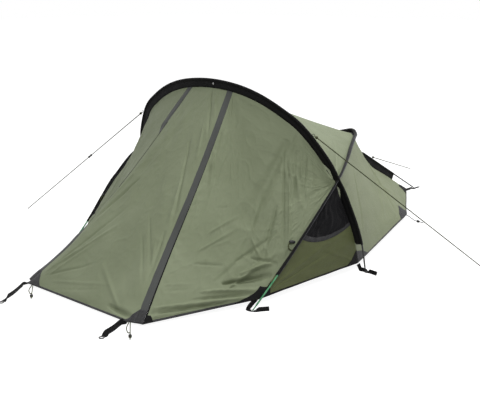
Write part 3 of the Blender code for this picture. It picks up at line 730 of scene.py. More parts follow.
def round_tube(name: str, path: Points, radii: ArrayLike, normal: ArrayLike, around: int = 12) -> Piece:
    """Round bar along a path: a circle of each point's radius, square to the path.

    Args:
        name: the piece's name.
        path: centre line.
        radii: radius at each point, or one for all.
        normal: direction that is nowhere along the path.
        around: points round the circle.

    Returns:
        The piece.
    """
    radii = np.broadcast_to(radii, len(path))
    rings = swept(path, np.asarray(normal, dtype=float), circle(around)[None] * radii[:, None, None])
    return skin(name, rings)


def lathe(name: str, centre: ArrayLike, axis: ArrayLike, profile: ArrayLike, around: int = 24,
          beside: ArrayLike = (0.2, 0.1, 1.0)) -> Piece:
    """Turned ring: a closed profile of (length along the axis, radius) taken round the axis.

    Args:
        name: the piece's name.
        centre: point where the length is 0.
        axis: direction of the axis.
        profile: the closed outline.
        around: points round the axis.
        beside: any direction off the axis, from which the first ray is taken.

    Returns:
        The piece.
    """
    axis = unit(axis)
    first = unit(np.cross(axis, beside))
    turn, profile = circle(around), np.asarray(profile, dtype=float)
    ray = turn[:, :1] * first + turn[:, 1:] * np.cross(axis, first)
    rings = (np.asarray(centre, dtype=float) + profile[None, :, :1] * axis
             + profile[None, :, 1:] * ray[:, None])
    return skin(name, rings, closed=True)


def torus(name: str, centre: ArrayLike, axis: ArrayLike, radius: float, wire: float) -> Piece:
    """Ring of round wire: a small circle carried round a large one.

    Args:
        name: the piece's name.
        centre: middle of the ring.
        axis: direction square to it.
        radius: from the middle to the wire's centre.
        wire: radius of the wire.

    Returns:
        The piece.
    """
    small = circle(12, wire)[:, ::-1] + (0.0, radius)
    beside = (0.3, 0.2, 1.0) if abs(unit(axis)[2]) < 0.9 else (1.0, 0.0, 0.0)
    return lathe(name, centre, axis, small, 36, beside)


def band_profile(width: float, thickness: float) -> Points:
    """Outline of a flat band with rounded edges.

    Args:
        width: width over its edges.
        thickness: thickness, and so the diameter of its edges.

    Returns:
        The outline's 12 points.
    """
    bend = circle(12)
    flat = width / 2 - thickness / 2
    return np.column_stack((np.sign(np.round(bend[:, 0], 6)) * flat + bend[:, 0] * thickness / 2,
                            bend[:, 1] * thickness / 2))


@dataclass
class Sheet:
    """One sheet of cloth as a grid of points, rows downwards and columns across."""

    name: str
    grid: Points

    def run(self, axis: int) -> Points:
        """Length from the first point down each column (0) or along each row (1)."""
        steps = np.linalg.norm(np.diff(self.grid, axis=axis), axis=2)
        return np.cumsum(np.insert(steps, 0, 0.0, axis=axis), axis=axis)

    def normals(self) -> Points:
        """Normal of the surface, pointing out of the tent.

        Returns:
            The cross product of the steps across and down at each point, to length one.
        """
        square = np.cross(np.gradient(self.grid, axis=1), np.gradient(self.grid, axis=0))
        out = outward(self.grid)
        size = np.linalg.norm(square, axis=2, keepdims=True)
        square = np.where(size > 1e-10, square, out)
        return unit(square * np.sign(np.sum(square * out, axis=2, keepdims=True) + 1e-15))

    def from_edges(self) -> dict[str, Points]:
        """Length from each point to the left, right, top and bottom edge, by its letter."""
        across, down = self.run(1), self.run(0)
        return {"l": across, "r": across[:, -1:] - across, "t": down, "b": down[-1:] - down}

    def inside(self, margin: float, edges: str = "lrtb") -> Points:
        """Share that eases from 0 at the named edges to 1 at margin from them."""
        far = self.from_edges()
        return smooth_step(np.minimum.reduce([far[edge] for edge in edges]) / margin)

    def flat_size(self) -> tuple[float, float]:
        """Greatest lengths across and down."""
        return float(self.run(1)[:, -1].max()), float(self.run(0)[-1].max())

    def area(self) -> float:
        """Area, as the sum of two triangles in each cell.

        Returns:
            The area in square metres.
        """
        low, right = self.grid[1:, :-1], self.grid[:-1, 1:]
        halves = (np.cross(low - corner, right - corner)
                  for corner in (self.grid[:-1, :-1], self.grid[1:, 1:]))
        return float(sum(np.linalg.norm(half, axis=2).sum() for half in halves) / 2)

    def folds(self, rows: Rows) -> Points:
        """Heights of creases: a bell across each, fading in and out along it.

        Args:
            rows: for each crease u, v of its start and u, v of its end, in thousandths of the
                sheet, then its half width and its height in millimetres.

        Returns:
            Height at each point.
        """
        normal = self.normals()
        heights = np.zeros(self.grid.shape[:2])
        for u0, v0, u1, v1, width, height in np.array(rows) / 1000:
            start = self.at(u0, v0)
            run = self.at(u1, v1) - start
            along = (self.grid - start) @ run / (run @ run)
            aside = self.grid - start - along[..., None] * run
            aside = aside - normal * np.sum(aside * normal, axis=2, keepdims=True)
            aside = np.linalg.norm(aside, axis=2)
            along = np.clip(along, 0.0, 1.0)
            fade = np.sin(math.pi * along ** 0.7) ** 0.7
            heights += height * fade * np.exp(-(aside / (width * (0.45 + 0.8 * along))) ** 2)
        return heights

    def puckers(self, edge: str, pitch: float, reach: float, height: float, seed: int) -> Points:
        """Heights of small gathers along an edge: waves along it that die away from it.

        Args:
            edge: the edge's letter.
            pitch: length of a wave.
            reach: length over which they fade.
            height: height at the edge.
            seed: number for their unevenness.

        Returns:
            Height at each point.
        """
        away = self.from_edges()[edge]
        run = self.run(0) if edge in "lr" else self.run(1)
        wobble = soft_noise(run.shape, (9, 9), seed)
        wave = np.sin(2 * math.pi * (run / pitch + 0.5 * wobble) + 0.6 * wobble)
        uneven = 0.6 + 0.4 * soft_noise(run.shape, (6, 14), seed + 1)
        return height * wave * np.exp(-away / reach) * uneven

    def crinkles(self, cells: tuple[int, int], height: float, seed: int) -> Points:
        """Heights of sharp crossing creases: ridges where smooth noise goes through 0.

        Args:
            cells: coarse cells of the noise down and across.
            height: height of the ridges.
            seed: number for the noise.

        Returns:
            Height at each point.
        """
        first = np.abs(soft_noise(self.grid.shape[:2], cells, seed))
        second = np.abs(soft_noise(self.grid.shape[:2], (cells[0] * 2, cells[1] * 2), seed + 1))
        return height * (np.exp(-first / 0.28) + 0.5 * np.exp(-second / 0.28))

    def press(self, heights: Points, margin: float = 0.03, edges: str = "lrtb") -> None:
        """Move the sheet out by heights, less and less towards the edges that are sewn."""
        self.grid = self.grid + self.normals() * (heights * self.inside(margin, edges))[..., None]

    def at(self, u: ArrayLike, v: ArrayLike) -> Points:
        """Points on the sheet, by linear steps between the grid's points.

        Args:
            u: shares of the way across.
            v: shares of the way down.

        Returns:
            A point for each pair of shares.
        """
        rows, columns = self.grid.shape[:2]
        x = np.clip(np.asarray(u, dtype=float), 0, 1) * (columns - 1)
        y = np.clip(np.asarray(v, dtype=float), 0, 1) * (rows - 1)
        left = np.minimum(x.astype(int), columns - 2)
        top = np.minimum(y.astype(int), rows - 2)
        s, t = (x - left)[..., None], (y - top)[..., None]
        g = self.grid
        return ((g[top, left] * (1 - s) + g[top, left + 1] * s) * (1 - t)
                + (g[top + 1, left] * (1 - s) + g[top + 1, left + 1] * s) * t)

    def overlay(self, name: str, u: Points, v: Points, lift: float) -> "Sheet":
        """Second sheet that lies on this one.

        Args:
            name: its name.
            u: share across for each of its points.
            v: share down for each of its points.
            lift: height above this one.

        Returns:
            The sheet.
        """
        top = Sheet(name, self.at(u, v))
        top.grid = top.grid + top.normals() * lift
        return top

    def band(self, name: str, edge: str, width: float, lift: float, start: float = 0.0,
             end: float = 1.0, across: int = 5) -> "Sheet":
        """Band that covers the sheet's border along one edge.

        Args:
            name: the band's name.
            edge: the edge's letter.
            width: the band's width.
            lift: height above the sheet.
            start: share of the edge where it starts.
            end: share of the edge where it ends.
            across: points over its width.

        Returns:
            The band.
        """
        long = self.run(0)[-1] if edge in "tb" else self.run(1)[:, -1]
        size = long[int(start * (len(long) - 1)):int(end * (len(long) - 1)) + 1].mean()
        count = max(8, int(max(self.grid.shape[:2]) * (end - start)))
        run = np.linspace(start, end, count)[None, :]
        deep = np.linspace(0.0, width / size, across)[:, None]
        run, deep = np.broadcast_arrays(run, deep)
        if edge in "br":
            deep = 1 - deep
        u, v = (run, deep) if edge in "tb" else (deep, run)
        return self.overlay(name, u, v, lift)

    def patch(self, name: str, corners: Rows, lift: float) -> "Sheet":
        """Four-sided patch that lies on the sheet.

        Args:
            name: its name.
            corners: u and v of its corners in thousandths of the sheet, in order round it.
            lift: height above the sheet.

        Returns:
            The patch.
        """
        first, second, third, fourth = np.array(corners, dtype=float) / 1000
        u, v = np.moveaxis(ruled(straight(first, second, 12), straight(fourth, third, 12), 12), -1, 0)
        return self.overlay(name, u, v, lift)

    def make(self, thickness: float) -> Piece:
        """Closed mesh of the sheet: its face, its back at thickness inwards, and the rim.

        Args:
            thickness: thickness of the cloth.

        Returns:
            The piece.
        """
        rows, columns = self.grid.shape[:2]
        back = self.grid - self.normals() * thickness
        quads = grid_quads(rows, columns)
        size = rows * columns
        index = np.arange(size).reshape(rows, columns)
        border = np.concatenate((index[0], index[1:, -1], index[-1, -2::-1], index[-2:0:-1, 0]))
        onward = np.roll(border, -1)
        rim = np.stack((onward, border, border + size, onward + size), axis=-1)
        uv = np.stack((self.run(1), self.run(0)), axis=-1)
        return new_piece(self.name, np.stack((self.grid, back)), [quads, quads[:, ::-1] + size, rim],
                         np.stack((uv, uv)), flat=(2,))


# ---- the tent's lines


@dataclass
class Lines:
    """Hoops, seams and edges of the tent, as in the CAD part, in the pattern frame."""

    foot_back: float = 1.314
    lean: float = 0.365
    height: float = 1.003
    half_width: float = 0.814
    main_shape: tuple = ((0.0, 1.0), (0.225, 0.985), (0.41, 0.945), (0.579, 0.878), (0.7236, 0.794),
                         (0.8614, 0.642), (0.921, 0.527), (0.9625, 0.4074), (1.0, 0.212), (0.988, 0.0))
    rear_foot: tuple = (0.49, 0.712, 0.0)
    rear_top: tuple = (2.333, 0.0, 0.560)
    rear_shape: tuple = ((2.275, 0.07, 0.548), (2.15, 0.147, 0.552), (1.80, 0.36, 0.568),
                         (1.41, 0.594, 0.565))
    rear_leg_shape: tuple = ((0.911, 0.758, 0.38), (0.790, 0.748, 0.268), (0.665, 0.730, 0.147))
    crossing_height: float = 0.534
    crossing_spacing: float = 0.0098
    tail_pole: tuple = ((2.47, 0.0, 0.388), (3.216, 0.0, 0.0055))
    ridge_shape: tuple = ((2.38, 0.0, 0.475), (2.44, 0.0, 0.410), (2.50, 0.0, 0.350), (2.60, 0.0, 0.268),
                          (2.72, 0.0, 0.210), (2.885, 0.0, 0.126), (3.0, 0.0, 0.066))
    front_corner: tuple = (0.023, 0.448, 0.012)
    front_skew: tuple = (0.007, -0.0235, 0.0)
    front_pull: tuple = (-0.012, 0.384, 0.012)
    side_corner: tuple = (2.40, 0.415, 0.03)
    tail_corner: tuple = (3.10, 0.0, 0.02)
    main_fin: float = 0.044
    crossing_fin: float = 0.027
    rear_fin: float = 0.0175
    strip_inner: float = 0.135
    strip_width: float = 0.040
    strip_foot: tuple = (0.012, 0.038, 0.0)
    strip_hollow: float = 0.038
    far_hollow: float = 0.015
    far_hollow_span: tuple = (0.55, 1.0, 1.3)
    far_turn: float = 0.9
    far_turn_spans: tuple = ((1.0, 0.17, 0.09, 0.85, 0.3), (0.2, 0.5, 0.2, 1.0, 0.1))
    door_return: float = 0.05
    hip_sag: float = 0.030
    low_heights: tuple = (0.05, 0.04)
    upper_share: float = 0.935
    crossing_reach: float = 0.04
    main: Points = field(init=False)
    rear: Points = field(init=False)

    def __post_init__(self) -> None:
        """Draw both hoops and the seams under them, on the far side."""
        share = np.array(self.main_shape)
        rise = share[:, 1] * self.height
        half = np.column_stack((self.foot_back - self.lean * rise, share[:, 0] * self.half_width, rise))
        self.main = smooth_curve(np.vstack((half[1] * (1, -1, 1), half)))[24:]
        order = np.argsort(self.main[:, 2])
        cross = np.array([np.interp(self.crossing_height, self.main[order, 2], self.main[order, axis])
                          for axis in range(3)])
        self.main_cross = self.length_at_height(self.main, self.crossing_height)
        cross = cross - self.crossing_spacing * outward(cross)
        half = np.vstack((self.rear_top, self.rear_shape, cross, self.rear_leg_shape, self.rear_foot))
        self.rear = smooth_curve(np.vstack((half[1] * (1, -1, 1), half)))[24:]
        nearest = np.argmin(np.linalg.norm(self.rear - cross, axis=1))
        self.rear_cross = float(lengths_along(self.rear)[nearest])
        self.main_low, self.rear_low = (self.length_at_height(line, height) for line, height
                                        in zip((self.main, self.rear), self.low_heights))
        wide = int(np.argmax(self.main[:, 1]))
        along = lengths_along(self.main)
        self.strip_marks = np.interp((self.strip_inner, self.strip_inner + self.strip_width),
                                     self.main[:wide, 1], along[:wide])
        self.upper_end = self.strip_marks[1] + self.upper_share * (self.main_cross - self.strip_marks[1])
        self.leg_step = (self.main_low - self.main_cross) / 8

    @staticmethod
    def length_at_height(line: Points, height: float) -> float:
        """Length from a hoop's top to where its leg is at a height."""
        return float(np.interp(-height, -line[:, 2], lengths_along(line)))

    def main_at(self, lengths: ArrayLike) -> Points:
        """Points of the main hoop's pole."""
        return at_lengths(self.main, lengths)

    def rear_at(self, lengths: ArrayLike) -> Points:
        """Points of the rear hoop's pole."""
        return at_lengths(self.rear, lengths)

    def main_seam(self, lengths: ArrayLike) -> Points:
        """Canopy seam under the main hoop, which comes nearer to the pole at the crossing.

        Args:
            lengths: lengths from the hoop's top.

        Returns:
            The pole's points, moved inwards by the height of the fin.
        """
        lengths = np.atleast_1d(lengths)
        near = np.interp(lengths, (self.upper_end, self.main_cross, self.main_cross + self.leg_step),
                         (0.0, 1.0, 0.0))
        fin = self.main_fin - (self.main_fin - self.crossing_fin) * near
        pole = self.main_at(lengths)
        return pole - fin[:, None] * outward(pole)

    def rear_seam(self, lengths: ArrayLike) -> Points:
        """Canopy seam under the rear hoop; at the crossing it meets the main hoop's seam.

        Args:
            lengths: lengths from the hoop's top.

        Returns:
            The pole's points, moved inwards by the fin, and by a bell towards the crossing.
        """
        lengths = np.atleast_1d(lengths)
        pole = self.rear_at(lengths)
        seam = pole - self.rear_fin * outward(pole)
        mid = self.rear_cross
        own = self.rear_at(mid) - self.rear_fin * outward(self.rear_at(mid))
        near = np.exp(-((lengths - self.rear_cross) / self.crossing_reach) ** 2)[:, None]
        return seam + (self.main_seam(self.main_cross) - own) * near

    def foot_of_strip(self, side: Side) -> Points:
        """Outer foot of a zip strip; the tent is pitched a little askew."""
        return mirrored(self.front_corner, side) + np.array(self.front_skew) * (side, 1.0, 1.0)

    def strip_edges(self, side: Side, count: int) -> tuple[Points, Points]:
        """Edges of a zip strip from the hoop's seam to the hem: hollow lines, bowed inwards by a sine.

        The far strip is pulled in further, and its outer edge turns inwards about the inner one.

        Args:
            side: side of the tent.
            count: points on each edge.

        Returns:
            Inner edge and outer edge.
        """
        outer_foot = self.foot_of_strip(side)
        inner_foot = outer_foot - mirrored(self.strip_foot, side)
        tops = mirrored(self.main_seam(self.strip_marks), side)
        share = shares(count)
        hollow = self.strip_hollow * np.sin(math.pi * share)
        if side is Side.FAR:
            hollow = hollow + self.far_hollow * bump(share, *self.far_hollow_span)
        edges = (straight(tops[0], inner_foot, count), straight(tops[1], outer_foot, count))
        inner, outer = (edge - hollow[:, None] * outward(edge) for edge in edges)
        if side is Side.FAR:
            turns = [height * plateau(share, *span) for height, *span in self.far_turn_spans]
            turn = self.far_turn * np.maximum(*turns)[:, None]
            wide = outer - inner
            into = unit(np.cross(wide, np.gradient(inner, axis=0)))
            into *= -np.sign(np.sum(into * outward(inner), axis=1, keepdims=True))
            reach = np.linalg.norm(wide, axis=1, keepdims=True)
            outer = inner + wide * np.cos(turn) + into * reach * np.sin(turn)
        return inner, outer

    def ridge(self, count: int) -> Points:
        """Ridge behind the rear hoop, down to the tail corner, at even steps of its marks."""
        top = self.rear_seam(0.0)
        return smooth_curve(np.vstack((top, self.ridge_shape, self.tail_corner)), (count - 1) // 8)

    def door_hem(self, side: Side) -> Points:
        """Point on the hem where a door's fold line ends."""
        low = mirrored(self.rear_seam(self.rear_low)[0], side)
        return low + self.door_return * unit(self.foot_of_strip(side) - low)


LINES = Lines()


# ---------------------------------------------------------------- base class of sub-assemblies


@dataclass
class Assembly:
    """A group of pieces that are made and dressed together."""

    finishes: Finishes

    def dress(self, piece: Piece, slot: Slot, body: str | None = "tent",
              nodes: Sequence[str] = (), material: bpy.types.Material | None = None) -> Piece:
        """Give a piece its finish and its body, and hide the CAD nodes that it stands for.

        Args:
            piece: the piece.
            slot: material slot of the record.
            body: CAD body that it rides on, or None for a piece that is attached to none.
            nodes: CAD nodes that it replaces.
            material: a finish other than the slot's own.

        Returns:
            The same piece.
        """
        piece.data.materials.clear()
        piece.data.materials.append(material or self.finishes.by_slot[slot])
        if nodes:
            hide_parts(*nodes)
        if body:
            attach(piece, body)
        LOG.info("%s: %d faces on %s", piece.name, len(piece.data.polygons), body or "two bodies")
        return piece

    def cord(self, name: str, path: Points, radius: float, lay: str, nodes: Sequence[str] = (),
             material: bpy.types.Material | None = None, slot: Slot = Slot.BLACK_TAPE,
             beside: ArrayLike = UP, **more: object) -> None:
        """Round cord along a path.

        Args:
            name: the piece's name.
            path: its centre line.
            radius: its radius.
            nodes: CAD nodes that it replaces.
            material: a finish other than the slot's own.
            slot: material slot of the record.
            beside: direction that is nowhere along the path.
            more: not used.
        """
        piece = round_tube(name, path, radius, beside, 10)
        self.dress(piece, slot, nodes=nodes, material=material)

    @staticmethod
    def declare(piece: Piece, sheet: Sheet, held: str, rests_on: Sequence[str]) -> None:
        """Work out a sheet's flat size, and its area held between 0.301 of that size and all of it; nothing
        is kept.

        Args:
            piece: not used.
            sheet: the sheet.
            rests_on: not used.
        """
        wide, long = sheet.flat_size()
        least, most = 0.301 * wide * long, wide * long
        min(max(sheet.area(), least), most)


# ---- studio


@dataclass
class Studio:
    """Camera, lamps, world and floor."""

    position: tuple = (-3.75886, -3.061, 1.444)
    heading: float = 41.66
    pitch: float = 14.81
    lens: float = 61.2
    world_heights: tuple = (-0.1, 0.9)
    world_levels: tuple = (0.11, 0.52)
    lamps: tuple = (((-3.4, -3.6, 4.6), 2.2, 172.0), ((2.6, -1.2, 5.6), 2.2, 235.0),
                    ((-1.0, 4.5, 4.2), 3.0, 55.0))
    target: tuple = (0.0, 0.0, 0.4)
    floor_half: float = 40.0
    floor_gap: float = 0.0005
    floor_tone: float = 0.3
    floor_glow: float = 0.93

    def build(self) -> None:
        """Set the studio up."""
        bpy.context.scene.view_settings.view_transform = "Standard"
        self.build_camera()
        self.build_world()
        self.build_floor()
        for number, (spot, size, power) in enumerate(self.lamps):
            self.build_lamp(f"softbox_{number}", spot, size, power)

    def build_camera(self) -> None:
        """Camera at the photograph's angle."""
        camera = bpy.data.cameras.new("camera")
        camera.lens = self.lens
        camera.sensor_width = 36.0
        camera.clip_end = 100.0
        item = bpy.data.objects.new("camera", camera)
        item.location = self.position
        item.rotation_euler = (math.radians(90 - self.pitch), 0.0, math.radians(self.heading - 90))
        bpy.context.scene.collection.objects.link(item)
        bpy.context.scene.camera = item

    def build_world(self) -> None:
        """World that lights the tent, more from above than from the side, and shows white."""
        graph = Graph(bpy.data.worlds.new("studio"))
        height = graph.add("SeparateXYZ", {0: graph.add("TexCoord").outputs["Generated"]}).outputs["Z"]
        (bottom, top), (low, high) = self.world_heights, self.world_levels
        level = graph.add("MapRange", {"Value": height, "From Min": bottom, "From Max": top,
                                       "To Min": low, "To Max": high})
        light = graph.tree.nodes["Background"]
        graph.feed(light, "Color", WHITE)
        graph.feed(light, "Strength", level.outputs["Result"])
        plain = graph.add("Background", {"Color": WHITE, "Strength": 1.0})
        mix = graph.add("MixShader", {"Fac": graph.seen_directly(), 1: light.outputs[0],
                                      2: plain.outputs[0]})
        graph.feed(graph.tree.nodes["World Output"], "Surface", mix.outputs[0])
        bpy.context.scene.world = graph.owner

    def build_floor(self) -> None:
        """White floor that keeps the tent's soft shadow."""
        mesh = bpy.data.meshes.new("floor")
        corners = self.floor_half * np.array(((-1, -1, 0), (1, -1, 0), (1, 1, 0), (-1, 1, 0)))
        mesh.from_pydata(corners.tolist(), [], [(0, 1, 2, 3)])
        item = bpy.data.objects.new("floor", mesh)
        bpy.context.scene.collection.objects.link(item)
        item.location = (0.0, 0.0, -self.floor_gap)
        graph = Graph.of_material("studio_floor")
        glow = graph.maths("MULTIPLY", graph.seen_directly(), self.floor_glow)
        graph.surface(Base_Color=(*[self.floor_tone] * 3, 1.0), Roughness=0.9, Specular_IOR_Level=0.0,
                      Emission_Color=WHITE, Emission_Strength=glow)
        mesh.materials.append(graph.owner)

    def build_lamp(self, name: str, spot: Sequence[float], size: float, power: float) -> None:
        """Large square lamp that faces the tent.

        Args:
            name: the lamp's name.
            spot: its place.
            size: its edge.
            power: its power in watts.
        """
        lamp = bpy.data.lights.new(name, "AREA")
        lamp.size = size
        lamp.energy = power
        item = bpy.data.objects.new(name, lamp)
        item.location = spot
        aim = unit(np.subtract(self.target, spot))
        item.rotation_euler = (math.acos(-aim[2]), 0.0, math.atan2(aim[1], aim[0]) - math.pi / 2)
        bpy.context.scene.collection.objects.link(item)


# ---- lines to the ground


@dataclass
class Guylines(Assembly):
    """Three lines with their rings and loops, and the runner on the far one."""

    radius: float = 0.0026
    ring_radius: float = 0.0065
    ring_wire: float = 0.0012
    sleeve_reach: float = 0.0067
    gap: float = 0.0004
    anchor_width: float = 0.63
    far_end: tuple = (0.888, 1.695)
    near_end: tuple = (1.745, -1.300)
    tail_end: tuple = (3.836, 0.395)
    tail_back: float = 2.60
    runner_at: float = 0.42
    runner_length: float = 0.030
    runner_play: float = 0.0011
    runner_shape: tuple = ((0.0, 0.0066), (0.003, 0.0070), (0.005, 0.0058))
    runner_waist: float = 0.0054
    tie_at: float = 0.012
    tie_length: float = 0.011
    tie_turns: float = 3.0
    tie_bulge: float = 2.1
    line_beside: tuple = (0.3, 0.2, 1.0)
    tie_beside: tuple = (0.1, 0.2, 1.0)

    def build(self) -> None:
        """Make each line, then the runner."""
        for side, end in ((Side.FAR, self.far_end), (Side.NEAR, self.near_end)):
            line = LINES.main
            wide = int(np.argmax(line[:, 1]))
            anchor = np.array([np.interp(self.anchor_width, line[:wide, 1], line[:wide, axis])
                               for axis in range(3)])
            anchor = mirrored(anchor, side)
            start, run, length = self.line(f"guyline_{side}", anchor, outward(anchor), end)
            if side is Side.FAR:
                self.runner(start + run * length * self.runner_at, run)
        top, foot = np.array(LINES.tail_pole)
        lean = unit(foot - top)
        lift = np.cross(lean, (0.0, -1.0, 0.0))
        lift = lift * np.sign(lift[2])
        self.line("guyline_tail", top + (self.tail_back - top[0]) / lean[0] * lean, lift, self.tail_end)

    def line(self, name: str, anchor: Points, lead: Points, end: Sequence[float]) -> tuple:
        """One taut line from its ring to the ground, with a knot tied near its ring.

        Args:
            name: name of the CAD node.
            anchor: point on the pole.
            lead: direction from the pole to the ring.
            end: place on the ground.

        Returns:
            Start of the line, its direction and its length.
        """
        centre = anchor + lead * (self.sleeve_reach + self.ring_radius + self.ring_wire + self.gap)
        foot = np.array((*end, self.radius + 0.0001))
        run = unit(foot - centre)
        ring = torus(f"{name}_eye", centre, np.cross(lead, run), self.ring_radius, self.ring_wire)
        self.dress(ring, Slot.BLACK_TAPE, nodes=[f"{name}_ring"])
        start = centre + run * (self.ring_radius + self.ring_wire + self.gap)
        path = straight(start, foot, 60)
        tie = self.knot(f"{name}_tie", start + run * self.tie_at, run)
        self.cord(name + "_line", path, self.radius, "taut", [name], slot=Slot.GUYLINE,
                  beside=self.line_beside, with_pieces=[tie])
        return start, run, float(np.linalg.norm(foot - start))

    def knot(self, name: str, centre: Points, run: Points) -> Piece:
        """Turns of the line about itself: a helix whose ends tuck in.

        Args:
            name: the piece's name.
            centre: middle of the knot.
            run: direction of the line.

        Returns:
            The piece.
        """
        turn = shares(60)
        side = unit(np.cross(run, self.tie_beside))
        up = np.cross(run, side)
        angle = 2 * math.pi * self.tie_turns * turn
        radius = self.tie_bulge * self.radius * np.sin(math.pi * turn) ** 0.35
        path = (centre + run * ((turn - 0.5) * self.tie_length)[:, None]
                + side * (radius * np.cos(angle))[:, None] + up * (radius * np.sin(angle))[:, None])
        return self.dress(round_tube(name, path, self.radius * 0.95, run, 8), Slot.GUYLINE)

    def runner(self, centre: Points, run: Points) -> None:
        """Plastic tensioner: a waisted barrel with a flange at each end.

        Args:
            centre: its middle.
            run: direction of the line.
        """
        half, bore = self.runner_length / 2, self.radius + self.runner_play
        flange = [(along - half, radius) for along, radius in self.runner_shape]
        other = [(-along, radius) for along, radius in flange[::-1]]
        profile = ((-half, bore), *flange, (0.0, self.runner_waist), *other, (half, bore))
        piece = lathe("line_runner_barrel", centre, run, profile)
        self.dress(piece, Slot.BLACK_PLASTIC, "runner", ["line_runner"])


@dataclass
class CornerCords(Assembly):
    """Elastic cords with their locks at the front and side corners."""

    radius: float = 0.0023
    gap: float = 0.0004
    tuck: float = 0.019
    lock_rest: float = 0.0084
    lock_length: float = 0.017
    bore: float = 0.0028
    head: tuple = ((0.0, 0.0067), (0.0015, 0.0077), (0.008, 0.0082), (0.0095, 0.0072), (0.0105, 0.0056))
    button: tuple = ((0.004, 0.0056), (0.0035, 0.0072), (0.001, 0.0072), (0.0, 0.0057))
    front_starts: tuple = ((0.008, 0.3965), (-0.003, 0.343))
    front_locks: tuple = ((-0.10, 0.52), (-0.10, 0.215))
    front_tail: float = 0.22
    side_start: float = 0.008
    side_lock: tuple = (2.376, 0.515)
    side_end: tuple = (2.352, 0.553)
    spread: float = 0.011
    loop_end: float = 0.030

    def build(self) -> None:
        """Make the four cords."""
        for number, side in enumerate(Side):
            start = np.array((*self.front_starts[number], LINES.front_pull[2] - self.radius))
            lock = np.array((*self.front_locks[number], self.lock_rest))
            end = lock + (lock - start) * (self.front_tail, self.front_tail, 0.0)
            self.corner("front", side, start, lock, end, self.finishes.olive_cord)
            start = np.array(LINES.side_corner) - (0.0, self.side_start, self.gap + self.radius + 0.0001)
            lock, end = (np.array((*spot, self.lock_rest)) for spot in (self.side_lock, self.side_end))
            self.corner("side", side, start, lock, end, self.finishes.elastic)

    def corner(self, where: str, side: Side, start: Points, lock: Points, end: Points,
               braid: bpy.types.Material) -> None:
        """One cord from under the hem through its lock; a front one also has a loop.

        Args:
            where: the corner's word in node and body names.
            side: side of the tent.
            start: point under the hem.
            lock: middle of the lock.
            end: end of the cord.
            braid: the cord's finish.
        """
        name = f"{where}_cord_{side}"
        run = unit((lock - start) * (1.0, 1.0, 0.0))
        before = lock - run * self.lock_length * 2.0
        tail = lock + run * np.linalg.norm((end - lock)[:2])
        route = mirrored((start, start + run * self.tuck, before, lock, tail), side)
        points = np.vstack((route[:1], straight(route[1], route[2], 4),
                            straight(route[2], route[4], 5)[1:]))
        path = evenly(smooth_curve(points, 8), 60)
        self.cord(f"{name}_elastic", path, self.radius, "loose", [name], braid)
        half, run = self.lock_length / 2, mirrored(run, side)
        profile = ((-half, self.bore), *((along - half, radius) for along, radius in self.head),
                   *((half - along, radius) for along, radius in self.button), (half, self.bore))
        piece = lathe(f"{name}_barrel", route[3], run, profile)
        self.dress(piece, Slot.BLACK_PLASTIC, f"lock_{where}_{side}", [f"{name}_lock"])
        if where == "front":
            aside = unit(np.cross(run, UP)) * self.spread
            points = np.stack((route[0] + aside * 0.5, route[1] + aside * 0.7,
                               (route[1] + route[2]) / 2 + aside * 1.5,
                               route[2] + aside * 0.9 - run * 0.006, route[3] - run * (half + self.loop_end)))
            back = evenly(smooth_curve(points, 12), 50)
            self.cord(f"{name}_return", back, self.radius, "loose", material=braid)


# ---- flysheet


@dataclass(frozen=True)
class Relief:
    """Unevenness of a cloth: a factor on its creases, soft noise and sharp crinkles."""

    folds: float
    noise: tuple
    crinkles: tuple = ()

    def heights(self, sheet: Sheet, creases: Rows, factor: ArrayLike = 1.0) -> Points:
        """Sum of the creases, the noise and the crinkles.

        Args:
            sheet: the cloth.
            creases: rows for the sheet's folds.
            factor: further factor on the creases, one for all or one for each point.

        Returns:
            Height at each point.
        """
        height, *noise = self.noise
        heights = self.folds * factor * sheet.folds(creases)
        heights = heights + height * soft_noise(heights.shape, *noise)
        return sum((sheet.crinkles(*row) for row in self.crinkles), heights)


